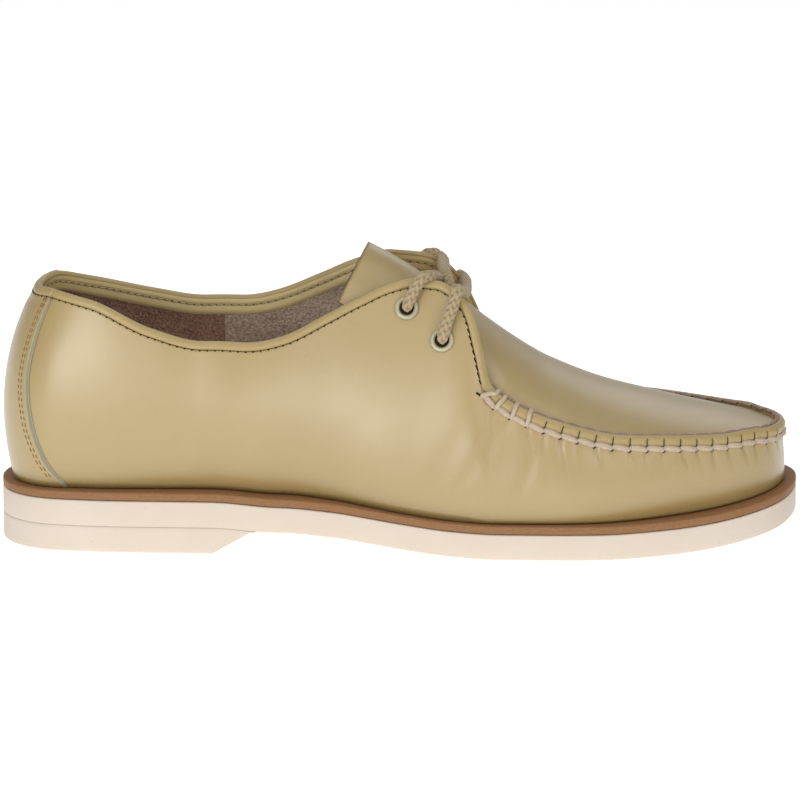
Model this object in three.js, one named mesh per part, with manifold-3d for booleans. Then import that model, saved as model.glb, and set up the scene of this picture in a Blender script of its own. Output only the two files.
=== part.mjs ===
// A right-foot boat shoe: leather moccasin upper with a raised seam, laced over a tongue, on a rubber sole.
// Millimetres. +X runs from heel to toe, +Y to the inner (medial) side, +Z up. The floor is at Z = 0, and
// the origin is on the heel's tread.

import * as THREE from 'three';
import { mergeVertices } from 'three/addons/utils/BufferGeometryUtils.js';
import Module from 'manifold-3d';

const wasm = await Module();
wasm.setup();

// Driving dimensions of the sole
const soleLength = 300;
const ballWidth = 100;
const originFromBack = 40;
const outsoleThickness = 9.7;
const midsoleThickness = 3;
const heelLiftHeight = 9.7;
const heelSeatLength = 79.5;
const heelBreastSlope = 1.7;
const toeSpring = 9;
const archRise = 8.4;
const treadChamfer = 1.6;

// Driving dimensions of the upper
const upperHeight = 88;
const upperInset = 10;
const upperWall = 2;
const bindingHeight = 3.2;
const bindingRise = 0.8;
const ridgeHeight = 4.2;
const ridgeRise = 1.1;
const backStripWidth = 40;
const backStripRise = 1.1;
const throatAlong = 0.61;
const throatBlend = 0.03;

// Driving dimensions of what goes inside and over the upper
const insoleThickness = 3;
const apronThickness = 2.2;
const apronTuck = 0.85;
const apronStart = 0.012;
const apronBendAtToe = 0.6;
const apronBendAtThroat = 1.2;
const tongueBend = 1.25;
const tongueTwist = 3.4;
const tongueWidth = 50;
const tongueDrop = 20;
const eyeletHoleRadius = 2.65;
const eyeletFlangeRadius = 4.5;
const eyeletFlangeHeight = 1;
const eyeletBarrelWall = 0.6;
const laceDiameter = 4.5;

// Clearance between pieces that touch, and the same where a flat ring sits on a curved wall
const seatGap = 0.3;
const curvedSeatGap = 0.5;
const insoleSideGap = 1;

// Plan of the sole: half widths as shares of half the ball's width, at shares of the sole's length
const solePlan = [
  { along: 0.012, lateral: 0.32, medial: 0.32 },
  { along: 0.045, lateral: 0.535, medial: 0.535 },
  { along: 0.11, lateral: 0.645, medial: 0.65 },
  { along: 0.25, lateral: 0.71, medial: 0.69 },
  { along: 0.37, lateral: 0.77, medial: 0.68 },
  { along: 0.5, lateral: 0.86, medial: 0.77 },
  { along: 0.62, lateral: 0.93, medial: 0.93 },
  { along: 0.72, lateral: 0.95, medial: 1.03 },
  { along: 0.8, lateral: 0.905, medial: 1.02 },
  { along: 0.88, lateral: 0.775, medial: 0.92 },
  { along: 0.94, lateral: 0.6, medial: 0.77 },
  { along: 0.98, lateral: 0.38, medial: 0.6 },
];
const toeTipSide = 0.12;

// Underside of the outsole: shares of the heel lift's height, of the arch's rise and of the toe spring
const treadProfile = [
  { along: 0, heel: 1, arch: 0, toe: 0 },
  { along: 0.265, heel: 1, arch: 0, toe: 0 },
  { along: 0.35, heel: 0, arch: 1, toe: 0 },
  { along: 0.415, heel: 0, arch: 0.84, toe: 0 },
  { along: 0.4625, heel: 0, arch: 0.6, toe: 0 },
  { along: 0.5, heel: 0, arch: 0.39, toe: 0 },
  { along: 0.565, heel: 0, arch: 0.1, toe: 0 },
  { along: 0.62, heel: 0, arch: 0, toe: 0 },
  { along: 0.74, heel: 0, arch: 0, toe: 0 },
  { along: 0.84, heel: 0, arch: 0, toe: 0.13 },
  { along: 0.88, heel: 0, arch: 0, toe: 0.23 },
  { along: 0.92, heel: 0, arch: 0, toe: 0.4 },
  { along: 0.955, heel: 0, arch: 0, toe: 0.61 },
  { along: 1, heel: 0, arch: 0, toe: 1 },
];

// Top line of the upper, round the collar, down the front edge of the quarters and along the moccasin ridge:
// heights above the sole as shares of the upper's height, insets from the sole's edge as shares of its inset
const topLine = [
  { along: 0, lateralHeight: 0.833, medialHeight: 0.833, lateralInset: 1.43, medialInset: 1.43 },
  { along: 0.045, lateralHeight: 0.842, medialHeight: 0.846, lateralInset: 1.2, medialInset: 1.2 },
  { along: 0.11, lateralHeight: 0.81, medialHeight: 0.805, lateralInset: 0.76, medialInset: 0.78 },
  { along: 0.19, lateralHeight: 0.692, medialHeight: 0.747, lateralInset: 0.65, medialInset: 0.65 },
  { along: 0.253, lateralHeight: 0.638, medialHeight: 0.716, lateralInset: 0.75, medialInset: 0.65 },
  { along: 0.3, lateralHeight: 0.639, medialHeight: 0.723, lateralInset: 0.91, medialInset: 0.66 },
  { along: 0.35, lateralHeight: 0.675, medialHeight: 0.767, lateralInset: 1.11, medialInset: 0.76 },
  { along: 0.4, lateralHeight: 0.773, medialHeight: 0.852, lateralInset: 1.35, medialInset: 0.94 },
  { along: 0.445, lateralHeight: 0.875, medialHeight: 0.942, lateralInset: 1.63, medialInset: 1.24 },
  { along: 0.48, lateralHeight: 0.947, medialHeight: 0.999, lateralInset: 1.84, medialInset: 1.58 },
  { along: 0.515, lateralHeight: 0.988, medialHeight: 1.008, lateralInset: 1.94, medialInset: 1.8 },
  { along: 0.54, lateralHeight: 0.991, medialHeight: 0.982, lateralInset: 1.94, medialInset: 1.79 },
  { along: 0.557, lateralHeight: 0.973, medialHeight: 0.93, lateralInset: 1.83, medialInset: 1.7 },
  { along: 0.572, lateralHeight: 0.935, medialHeight: 0.858, lateralInset: 1.69, medialInset: 1.6 },
  { along: 0.585, lateralHeight: 0.87, medialHeight: 0.775, lateralInset: 1.49, medialInset: 1.46 },
  { along: 0.597, lateralHeight: 0.735, medialHeight: 0.68, lateralInset: 1.15, medialInset: 1.3 },
  { along: 0.61, lateralHeight: 0.585, medialHeight: 0.6, lateralInset: 0.93, medialInset: 1.12 },
  { along: 0.65, lateralHeight: 0.492, medialHeight: 0.506, lateralInset: 0.76, medialInset: 0.9 },
  { along: 0.7, lateralHeight: 0.43, medialHeight: 0.45, lateralInset: 0.75, medialInset: 0.85 },
  { along: 0.77, lateralHeight: 0.373, medialHeight: 0.403, lateralInset: 0.8, medialInset: 0.9 },
  { along: 0.85, lateralHeight: 0.344, medialHeight: 0.369, lateralInset: 0.8, medialInset: 1 },
  { along: 0.92, lateralHeight: 0.312, medialHeight: 0.33, lateralInset: 0.85, medialInset: 1 },
  { along: 0.97, lateralHeight: 0.29, medialHeight: 0.295, lateralInset: 0.95, medialInset: 0.96 },
  { along: 1, lateralHeight: 0.255, medialHeight: 0.255, lateralInset: 0.54, medialInset: 0.54 },
];

// Sections of the upper's wall, from its foot on the sole through belly and shoulder towards the top line:
// insets from the sole's edge, as shares of the upper's inset
const wallSections = [
  { along: 0, lateralFoot: 0.5, medialFoot: 0.5, lateralBelly: -0.1, medialBelly: -0.1,
    lateralShoulder: 0.05, medialShoulder: 0.05 },
  { along: 0.045, lateralFoot: 0.55, medialFoot: 0.52, lateralBelly: -0.08, medialBelly: -0.08,
    lateralShoulder: 0.08, medialShoulder: 0.08 },
  { along: 0.11, lateralFoot: 0.6, medialFoot: 0.5, lateralBelly: 0, medialBelly: 0,
    lateralShoulder: 0.15, medialShoulder: 0.15 },
  { along: 0.25, lateralFoot: 0.8, medialFoot: 0.5, lateralBelly: 0.15, medialBelly: 0.1,
    lateralShoulder: 0.3, medialShoulder: 0.25 },
  { along: 0.35, lateralFoot: 0.85, medialFoot: 0.5, lateralBelly: 0.15, medialBelly: 0.05,
    lateralShoulder: 0.4, medialShoulder: 0.2 },
  { along: 0.5, lateralFoot: 0.4, medialFoot: 0.45, lateralBelly: -0.1, medialBelly: -0.1,
    lateralShoulder: 0.8, medialShoulder: 0.7 },
  { along: 0.585, lateralFoot: 0.35, medialFoot: 0.5, lateralBelly: -0.1, medialBelly: 0,
    lateralShoulder: 0.6, medialShoulder: 0.65 },
  { along: 0.7, lateralFoot: 0.42, medialFoot: 0.5, lateralBelly: 0, medialBelly: 0,
    lateralShoulder: 0.4, medialShoulder: 0.4 },
  { along: 0.8, lateralFoot: 0.7, medialFoot: 0.6, lateralBelly: 0.25, medialBelly: 0.15,
    lateralShoulder: 0.45, medialShoulder: 0.45 },
  { along: 0.9, lateralFoot: 0.92, medialFoot: 0.7, lateralBelly: 0.5, medialBelly: 0.3,
    lateralShoulder: 0.65, medialShoulder: 0.65 },
  { along: 0.97, lateralFoot: 0.85, medialFoot: 0.75, lateralBelly: 0.6, medialBelly: 0.45,
    lateralShoulder: 0.8, medialShoulder: 0.75 },
  { along: 1, lateralFoot: 0.46, medialFoot: 0.46, lateralBelly: 0.38, medialBelly: 0.38,
    lateralShoulder: 0.55, medialShoulder: 0.55 },
];

// Half width of the back strip at shares of the wall's height, as shares of its width at the top
const backStripShape = [
  { along: 0, half: 1.1 },
  { along: 0.06, half: 0.98 },
  { along: 0.15, half: 0.85 },
  { along: 0.35, half: 0.71 },
  { along: 0.57, half: 0.65 },
  { along: 0.8, half: 0.71 },
  { along: 0.97, half: 0.84 },
  { along: 1, half: 0.86 },
];

// Crest of the apron and tongue, from toe to tongue tip: heights above the sole as shares of the upper's height
const apronCrest = [
  { along: 0.6, height: 0.805 },
  { along: 0.615, height: 0.772 },
  { along: 0.645, height: 0.7 },
  { along: 0.676, height: 0.63 },
  { along: 0.71, height: 0.573 },
  { along: 0.74, height: 0.534 },
  { along: 0.773, height: 0.5 },
  { along: 0.82, height: 0.452 },
  { along: 0.87, height: 0.4 },
  { along: 0.92, height: 0.335 },
  { along: 0.96, height: 0.27 },
  { along: 1, height: 0.2 },
];

// Sections of the tongue behind the throat: place and height of its crest, half width as a share of its
// width, drop from crest to edge as a share of its drop, and how far the section leans back for each mm down
const tongueSections = [
  { along: 0.592, height: 0.835, half: 0.62, drop: 1.05, lean: 0.2 },
  { along: 0.572, height: 0.88, half: 0.56, drop: 1.02, lean: 0.38 },
  { along: 0.545, height: 0.93, half: 0.51, drop: 1, lean: 0.52 },
  { along: 0.517, height: 0.985, half: 0.47, drop: 1, lean: 0.58 },
  { along: 0.488, height: 1.03, half: 0.445, drop: 0.96, lean: 0.6 },
  { along: 0.46, height: 1.065, half: 0.43, drop: 0.92, lean: 0.6 },
];

// Places of the eyelets on the wall, as shares of the sole's length and of the wall's height
const eyeletPlaces = [
  { name: 'lower', along: 0.548, height: 0.77 },
  { name: 'upper', along: 0.503, height: 0.884 },
];

// Routes of the lace, from the lateral side over the tongue. Beside the wall a row names a side. Over the
// tongue it names a share of the way across, from the lateral rim to the medial one. Heights above the wall's
// top or the tongue's crest, and distances from the wall's outer face, are shares of the lace's diameter.
const lowerBarRoute = [
  { eyelet: 'eyelet_lateral_lower' },
  { along: 0.5555, side: 'lateral', above: -2.6, outward: 0.9 },
  { along: 0.562, side: 'lateral', above: -1.1, outward: 0.86 },
  { along: 0.5665, side: 'lateral', above: 0.25, outward: 0.72 },
  { along: 0.57, side: 'lateral', above: 0.86, outward: -0.2 },
  { along: 0.574, across: 0.25, above: 1.68 },
  { along: 0.5745, across: 0.5, above: 1.15 },
  { along: 0.573, across: 0.75, above: 1.15 },
  { along: 0.568, side: 'medial', above: 1.02, outward: -0.2 },
  { along: 0.5648, side: 'medial', above: 0.4, outward: 0.82 },
  { along: 0.561, side: 'medial', above: -0.9, outward: 0.9 },
  { along: 0.555, side: 'medial', above: -2.3, outward: 0.95 },
  { eyelet: 'eyelet_medial_lower' },
];
const lateralStrandRoute = [
  { eyelet: 'eyelet_lateral_upper' },
  { along: 0.514, side: 'lateral', above: -0.8, outward: 0.84 },
  { along: 0.5235, side: 'lateral', above: 0.25, outward: 0.72 },
  { along: 0.531, side: 'lateral', above: 0.84, outward: -0.2 },
  { along: 0.5365, across: 0.2, above: 1.3 },
  { along: 0.5405, across: 0.36, above: 0.75 },
  { along: 0.5425, across: 0.55, above: 0.62 },
  { along: 0.545, across: 0.7, above: 0.45 },
];
const medialStrandRoute = [
  { eyelet: 'eyelet_medial_upper' },
  { along: 0.517, side: 'medial', above: -0.95, outward: 0.84 },
  { along: 0.53, side: 'medial', above: 0.2, outward: 0.74 },
  { along: 0.5385, side: 'medial', above: 0.82, outward: -0.2 },
  { along: 0.5445, across: 0.7, above: 1.5 },
  { along: 0.5465, across: 0.5, above: 1.5 },
  { along: 0.549, across: 0.33, above: 1.25 },
  { along: 0.555, across: 0.2, above: 0.9 },
  { along: 0.5595, across: 0.14, above: 0.4 },
];

// How finely the surfaces are divided
const soleStations = 40;
const endCrowding = 0.6;
const coarseColumn = 8;
const fineColumn = 4;
const stripStep = 0.5;
const stripColumns = [-1, -0.6, -0.2, 0.2, 0.6, 1];
const blendColumns = [0, 0.3, 0.65];
const stripBlendLength = 62;
const fineFrom = 0.53;
const fineUntil = 0.64;
const fineAtToe = 0.95;
const apronStations = 17;
const firstStation = 0.35;
const tipAlong = 0.9999;
const tongueTipAlong = 0.46;
const twistAlong = 0.55;
const apronColumns = 14;
const laceSides = 10;
const laceStep = 3.4;

// Finishes
const finishes = {
  leather: { color: 0xb7a371, roughness: 0.55, metalness: 0 },
  rubber: { color: 0xe9dccb, roughness: 0.7, metalness: 0 },
  edgeLeather: { color: 0x9a7354, roughness: 0.75, metalness: 0 },
  suede: { color: 0x7a5f4c, roughness: 0.9, metalness: 0 },
  enamel: { color: 0xcdcdaf, roughness: 0.35, metalness: 0.3 },
  cord: { color: 0xdeceb0, roughness: 0.85, metalness: 0 },
};

const shoe = new THREE.Group();

function addPiece(name, geometry, finish) {
  const mesh = new THREE.Mesh(geometry, new THREE.MeshStandardMaterial(finishes[finish]));
  mesh.name = name;
  shoe.add(mesh);
  return mesh;
}

// A smooth curve through one column of a table, which never runs past a row that is a peak or a flat
function curveThrough(rows, column) {
  const places = rows.map((row) => row.along);
  const values = rows.map((row) => row[column]);
  const slopes = places.slice(1).map((next, i) => (values[i + 1] - values[i]) / (next - places[i]));
  const tangents = values.map((value, i) => {
    if (i === 0) return slopes[0];
    if (i === values.length - 1) return slopes[i - 1];
    const [before, after] = [slopes[i - 1], slopes[i]];
    return before * after <= 0 ? 0 : (2 * before * after) / (before + after);
  });
  return (at) => {
    const place = THREE.MathUtils.clamp(at, places[0], places.at(-1));
    const i = Math.max(0, places.findIndex((next) => next >= place) - 1);
    const span = places[i + 1] - places[i];
    const t = (place - places[i]) / span;
    return (
      values[i] * (1 + 2 * t) * (1 - t) ** 2 +
      values[i + 1] * t * t * (3 - 2 * t) +
      tangents[i] * span * t * (1 - t) ** 2 -
      tangents[i + 1] * span * t * t * (1 - t)
    );
  };
}

const stationX = (along) => along * soleLength - originFromBack;
const shareAlong = (x) => (x + originFromBack) / soleLength;

// Plan outline of the sole, from the back of the heel along the lateral side to the toe and back
const halfBall = ballWidth / 2;
const planPoints = [
  new THREE.Vector3(stationX(0), 0, 0),
  ...solePlan.map((row) => new THREE.Vector3(stationX(row.along), -row.lateral * halfBall, 0)),
  new THREE.Vector3(stationX(1), toeTipSide * halfBall, 0),
  ...solePlan.toReversed().map((row) => new THREE.Vector3(stationX(row.along), row.medial * halfBall, 0)),
];
const soleOutline = new THREE.CatmullRomCurve3(planPoints, true, 'centripetal');
soleOutline.arcLengthDivisions = 1200;
const outlineLength = soleOutline.getLength();

// A place on the outline with its direction inwards; u runs from 0 to 1 round the outline
function edgeAt(u) {
  const turn = THREE.MathUtils.euclideanModulo(u, 1);
  const point = soleOutline.getPointAt(turn);
  const tangent = soleOutline.getTangentAt(turn);
  const inward = new THREE.Vector3(-tangent.y, tangent.x, 0);
  return { point, inward, along: shareAlong(point.x), side: turn < 0.5 ? 'lateral' : 'medial' };
}

const heelShare = curveThrough(treadProfile, 'heel');
const archShare = curveThrough(treadProfile, 'arch');
const toeShare = curveThrough(treadProfile, 'toe');
const outsoleBottom = (x) => {
  const along = shareAlong(x);
  const heel = heelShare(along) * (heelLiftHeight + seatGap);
  return heel + archShare(along) * archRise + toeShare(along) * toeSpring;
};
const outsoleTop = (x) => outsoleBottom(x) + outsoleThickness;
const midsoleBottom = (x) => outsoleTop(x) + seatGap;
const midsoleTop = (x) => midsoleBottom(x) + midsoleThickness;
const upperFoot = (x) => midsoleTop(x) + seatGap;

// A closed geometry from rings of points that run the same way round, the first and the last one capped by
// strips between their two halves
function layeredSolid(rings) {
  const count = rings[0].length;
  const half = count / 2;
  const positions = rings.flat().flatMap((point) => point.toArray());
  const faces = [];
  rings.slice(1).forEach((ring, layer) => {
    for (let i = 0; i < count; i += 1) {
      const low = layer * count;
      const next = (i + 1) % count;
      faces.push(low + i, low + next, low + count + next);
      faces.push(low + i, low + count + next, low + count + i);
    }
  });
  const mirrored = (i) => (count - i) % count;
  const last = (rings.length - 1) * count;
  for (let i = 0; i < half; i += 1) {
    const corners = [i, i + 1, mirrored(i + 1), mirrored(i)];
    for (const [a, b, c] of [[0, 1, 2], [0, 2, 3]]) {
      if (new Set([corners[a], corners[b], corners[c]]).size < 3) continue;
      faces.push(corners[a], corners[c], corners[b]);
      faces.push(last + corners[a], last + corners[b], last + corners[c]);
    }
  }
  return indexedGeometry(positions, faces);
}

function indexedGeometry(positions, faces) {
  const geometry = new THREE.BufferGeometry();
  geometry.setAttribute('position', new THREE.Float32BufferAttribute(positions, 3));
  geometry.setIndex(faces);
  return mergeVertices(geometry, 1e-4);
}

// Solids for cuts and joins
function toSolid(geometry) {
  const bare = geometry.clone();
  bare.deleteAttribute('normal');
  bare.deleteAttribute('uv');
  const merged = mergeVertices(bare, 1e-4);
  return new wasm.Manifold(
    new wasm.Mesh({
      numProp: 3,
      vertProperties: new Float32Array(merged.attributes.position.array),
      triVerts: new Uint32Array(merged.index.array),
    }),
  );
}

function toGeometry(solid) {
  const mesh = solid.getMesh();
  const geometry = new THREE.BufferGeometry();
  geometry.setAttribute('position', new THREE.Float32BufferAttribute(mesh.vertProperties, 3));
  geometry.setIndex([...mesh.triVerts]);
  return geometry;
}

// Ring round the sole, with its points closer together at heel and toe: inset from its edge and height are
// functions of the place
function soleRing(inset, height) {
  return Array.from({ length: 2 * soleStations }, (_, i) => {
    const turn = i / (2 * soleStations);
    const edge = edgeAt(turn - (endCrowding * Math.sin(4 * Math.PI * turn)) / (4 * Math.PI));
    const point = edge.point.clone().addScaledVector(edge.inward, inset(edge));
    return point.setZ(height(point.x));
  });
}

// Outsole: a plain edge, chamfered at the tread
function makeOutsole() {
  const rings = [
    soleRing(() => treadChamfer, outsoleBottom),
    soleRing(() => 0, (x) => outsoleBottom(x) + treadChamfer),
    soleRing(() => 0, outsoleTop),
  ];
  addPiece('outsole', layeredSolid(rings), 'rubber');
}

function makeMidsole() {
  addPiece('midsole', layeredSolid([soleRing(() => 0, midsoleBottom), soleRing(() => 0, midsoleTop)]), 'edgeLeather');
}

// Heel lift: a block of the sole's plan, cut off by a front face that leans forward
function makeHeelLift() {
  const top = (x) => outsoleBottom(x) - seatGap;
  const block = layeredSolid([
    soleRing(() => treadChamfer / 2, () => 0),
    soleRing(() => 0, () => treadChamfer / 2),
    soleRing(() => 0, (x) => Math.max(top(x), treadChamfer)),
  ]);
  const breastFoot = heelSeatLength - originFromBack;
  const behind = breastFoot - soleLength;
  const above = heelLiftHeight + toeSpring;
  const profile = new THREE.Shape([
    new THREE.Vector2(behind, -1),
    new THREE.Vector2(breastFoot - heelBreastSlope, -1),
    new THREE.Vector2(breastFoot + heelBreastSlope * above, above),
    new THREE.Vector2(behind, above),
  ]);
  const cutter = new THREE.ExtrudeGeometry(profile, { depth: 2 * ballWidth, bevelEnabled: false });
  cutter.rotateX(Math.PI / 2);
  cutter.translate(0, ballWidth, 0);
  addPiece('heel_lift', toGeometry(toSolid(block).intersect(toSolid(cutter))), 'rubber');
}

// Wall of the upper
const sectionColumns = ['Foot', 'Belly', 'Shoulder'];
const wallCurves = {};
for (const side of ['lateral', 'medial']) {
  for (const column of sectionColumns) {
    wallCurves[side + column] = curveThrough(wallSections, side + column);
  }
  for (const column of ['Height', 'Inset']) {
    wallCurves[side + column] = curveThrough(topLine, side + column);
  }
}

// A section of the wall at a place of the outline: its four insets and its two heights
function sectionAt(u) {
  const edge = edgeAt(u);
  const share = (column) => wallCurves[edge.side + column](edge.along);
  const insets = [...sectionColumns, 'Inset'].map((column) => share(column) * upperInset);
  const placed = (inset) => edge.point.clone().addScaledVector(edge.inward, inset);
  const footHeight = upperFoot(placed(insets[0]).x);
  const topHeight = midsoleTop(placed(insets[3]).x) + share('Height') * upperHeight;
  return { ...edge, insets, footHeight, rise: topHeight - footHeight };
}

// A point of the wall: t is the share of its height, outward the distance from its outer face
function wallPoint(u, t, outward) {
  const { point, inward, insets, footHeight, rise } = sectionAt(u);
  const [foot, belly, shoulder, top] = insets;
  const rest = 1 - t;
  const inset = foot * rest ** 3 + 3 * belly * t * rest ** 2 + 3 * shoulder * t * t * rest + top * t ** 3;
  const slope = 3 * ((belly - foot) * rest ** 2 + 2 * (shoulder - belly) * t * rest + (top - shoulder) * t * t);
  const steep = Math.hypot(slope, rise);
  const moved = point.clone().addScaledVector(inward, inset - (outward * rise) / steep);
  return moved.setZ(Math.max(footHeight + t * rise + (outward * slope) / steep, footHeight));
}

// Share of the moccasin ridge in the edge band: none on the quarters, all of it in front of the throat
const ridgeAmount = (u) => {
  const { along } = edgeAt(u);
  return THREE.MathUtils.smoothstep(along, throatAlong - throatBlend, throatAlong + throatBlend);
};
const bandHeight = (u) => THREE.MathUtils.lerp(bindingHeight, ridgeHeight, ridgeAmount(u));
const bandRise = (u) => THREE.MathUtils.lerp(bindingRise, ridgeRise, ridgeAmount(u));

// Columns of the wall round the shoe. Those on the back strip and beside it follow the strip's edge.
const stripHalf = curveThrough(backStripShape, 'half');
const stripEdge = (t) => stripHalf(t) * backStripWidth;
function wallColumns() {
  const columns = [];
  for (const share of stripColumns) {
    columns.push({ raised: backStripRise, arc: (t) => share * stripEdge(t) });
  }
  const beside = (share) => (t) => THREE.MathUtils.lerp(stripEdge(t) + stripStep, stripBlendLength, share);
  for (const share of blendColumns) {
    columns.push({ raised: 0, arc: beside(share) });
  }
  let place = stripBlendLength;
  while (place < outlineLength - stripBlendLength - fineColumn) {
    const here = place;
    columns.push({ raised: 0, arc: () => here });
    const { along } = edgeAt(place / outlineLength);
    const nearThroat = along > fineFrom && along < fineUntil;
    const nearToe = along > fineAtToe;
    place += nearThroat || nearToe ? fineColumn : coarseColumn;
  }
  for (const share of blendColumns.toReversed()) {
    const arc = beside(share);
    columns.push({ raised: 0, arc: (t) => outlineLength - arc(t) });
  }
  return columns;
}

// Rows of the wall: up the outer face, over the rim and down the inner face. Below the edge band a row is a
// share of the height left, in the band it is a share of the band's height from the top.
const bandFoot = 1.12;
const wallRows = [
  { share: 0, outward: 0 },
  { share: 0.07, outward: 0 },
  { share: 0.18, outward: 0 },
  { share: 0.34, outward: 0 },
  { share: 0.52, outward: 0 },
  { share: 0.7, outward: 0 },
  { share: 0.87, outward: 0 },
  { band: bandFoot, outward: 0 },
  { band: 1, outward: 0, rise: 1 },
  { band: 0.45, outward: 0, rise: 1.15 },
  { band: 0, outward: 0, rise: 0.6 },
  { band: -0.14, outward: -0.5 },
  { band: 0, outward: -1 },
  { band: 1, outward: -1 },
  { share: 0.75, outward: -1 },
  { share: 0.48, outward: -1 },
  { share: 0.22, outward: -1 },
  { share: 0, outward: -1 },
];

function makeUpperShell() {
  const columns = wallColumns();
  const positions = [];
  for (const column of columns) {
    for (const row of wallRows) {
      const rough = row.share ?? 1;
      const uRough = column.arc(rough) / outlineLength;
      const { rise } = sectionAt(uRough);
      const band = bandHeight(uRough) / rise;
      const t = row.band === undefined ? row.share * (1 - bandFoot * band) : 1 - row.band * band;
      const u = column.arc(Math.min(t, 1)) / outlineLength;
      const face = row.outward === 0 ? column.raised : 0;
      const outward = row.outward * upperWall + (row.rise ?? 0) * bandRise(u) + face;
      positions.push(...wallPoint(u, t, outward).toArray());
    }
  }
  const rows = wallRows.length;
  const faces = [];
  columns.forEach((_, i) => {
    const here = i * rows;
    const there = ((i + 1) % columns.length) * rows;
    for (let j = 0; j < rows; j += 1) {
      const up = (j + 1) % rows;
      faces.push(here + j, there + j, there + up);
      faces.push(here + j, there + up, here + up);
    }
  });
  return indexedGeometry(positions, faces);
}

// Place of a point on the outline at a share of the sole's length, on one side
function turnAt(along, side) {
  let [low, high] = side === 'lateral' ? [0, 0.5] : [1, 0.5];
  for (let i = 0; i < 40; i += 1) {
    const middle = (low + high) / 2;
    if (edgeAt(middle).along < along) low = middle;
    else high = middle;
  }
  return (low + high) / 2;
}

// Where an eyelet sits on the wall, and the direction that it faces
function eyeletSeat(place, side) {
  const u = turnAt(place.along, side);
  const step = 0.5;
  const centre = wallPoint(u, place.height, 0);
  const forward = wallPoint(u + step / outlineLength, place.height, 0).sub(centre);
  const upward = wallPoint(u, place.height + step / upperHeight, 0).sub(centre);
  return { centre, facing: forward.cross(upward).normalize() };
}

const eyelets = ['lateral', 'medial'].flatMap((side) =>
  eyeletPlaces.map((place) => ({ name: `eyelet_${side}_${place.name}`, ...eyeletSeat(place, side) })),
);

function standAlong(geometry, { centre, facing }) {
  geometry.applyQuaternion(new THREE.Quaternion().setFromUnitVectors(new THREE.Vector3(0, 1, 0), facing));
  return geometry.translate(centre.x, centre.y, centre.z);
}

function makeUpper() {
  let solid = toSolid(makeUpperShell());
  const holeRadius = eyeletHoleRadius + eyeletBarrelWall + seatGap;
  for (const eyelet of eyelets) {
    const hole = new THREE.CylinderGeometry(holeRadius, holeRadius, 6 * upperWall, 16);
    solid = solid.subtract(toSolid(standAlong(hole, eyelet)));
  }
  addPiece('upper', toGeometry(solid), 'leather');
}

// Eyelet: a ring with a rounded flange outside and a barrel through the wall
function makeEyelets() {
  const barrelRadius = eyeletHoleRadius + eyeletBarrelWall;
  const seat = curvedSeatGap;
  const crown = seat + eyeletFlangeHeight;
  const profile = [
    [eyeletHoleRadius, -upperWall],
    [barrelRadius, -upperWall],
    [barrelRadius, seat],
    [eyeletFlangeRadius, seat],
    [eyeletFlangeRadius - 0.25, seat + 0.6 * eyeletFlangeHeight],
    [(eyeletFlangeRadius + barrelRadius) / 2, crown],
    [eyeletHoleRadius + 0.3, seat + 0.75 * eyeletFlangeHeight],
    [eyeletHoleRadius, -upperWall],
  ].map(([radius, height]) => new THREE.Vector2(radius, height));
  for (const eyelet of eyelets) {
    const ring = new THREE.LatheGeometry(profile, 20);
    addPiece(eyelet.name, toGeometry(toSolid(standAlong(ring, eyelet))), 'enamel');
  }
}

// Insole: fills the foot of the upper's inside
function makeInsole() {
  const footInset = (edge) => wallCurves[edge.side + 'Foot'](edge.along) * upperInset + upperWall + insoleSideGap;
  const low = (x) => midsoleTop(x) + seatGap;
  const high = (x) => low(x) + insoleThickness;
  addPiece('insole', layeredSolid([soleRing(footInset, low), soleRing(footInset, high)]), 'suede');
}

// Apron and tongue: rows of an arch, each with two edges and a crest, from the toe back to the tongue's tip
const crestHeight = curveThrough(apronCrest, 'height');
function apronRows() {
  const rows = [];
  const tip = turnAt(tipAlong, 'lateral');
  const start = turnAt(throatAlong + apronStart, 'lateral');
  for (let i = 0; i < apronStations; i += 1) {
    const part = (i + firstStation) / (apronStations - 1 + firstStation);
    const lateralTurn = THREE.MathUtils.lerp(tip, start, part);
    const medialTurn = turnAt(Math.min(edgeAt(lateralTurn).along, tipAlong), 'medial');
    const [lateral, medial] = [lateralTurn, medialTurn].map((u) => {
      const down = (apronTuck * ridgeHeight) / sectionAt(u).rise;
      return wallPoint(u, 1 - down, -upperWall - seatGap);
    });
    const middle = lateral.clone().lerp(medial, 0.5);
    const crest = middle.clone();
    crest.z = midsoleTop(crest.x) + crestHeight(shareAlong(crest.x)) * upperHeight;
    crest.z = Math.max(crest.z, middle.z + seatGap);
    rows.push({ lateral, medial, crest, bend: THREE.MathUtils.lerp(apronBendAtToe, apronBendAtThroat, part) });
  }
  for (const section of tongueSections) {
    const x = stationX(section.along);
    const crest = new THREE.Vector3(x, 0, midsoleTop(x) + section.height * upperHeight);
    const drop = section.drop * tongueDrop;
    const half = section.half * tongueWidth;
    const back = x - section.lean * drop;
    const lateral = new THREE.Vector3(back, -half, crest.z - drop);
    const twist = (1 - THREE.MathUtils.smoothstep(section.along, tongueTipAlong, twistAlong)) * tongueTwist;
    const medial = new THREE.Vector3(back + twist, half, crest.z - drop);
    rows.push({ lateral, medial, crest, bend: tongueBend });
  }
  return rows;
}

// A point of an arch: w runs from -1 at the lateral edge over 0 at the crest to 1 at the medial edge
function archPoint({ lateral, medial, crest, bend }, w) {
  const angle = w * bend;
  const across = (1 + Math.sin(angle) / Math.sin(bend)) / 2;
  const lift = (Math.cos(angle) - Math.cos(bend)) / (1 - Math.cos(bend));
  const middle = lateral.clone().lerp(medial, 0.5);
  const chord = lateral.clone().lerp(medial, across);
  return chord.addScaledVector(crest.clone().sub(middle), lift);
}

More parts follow.
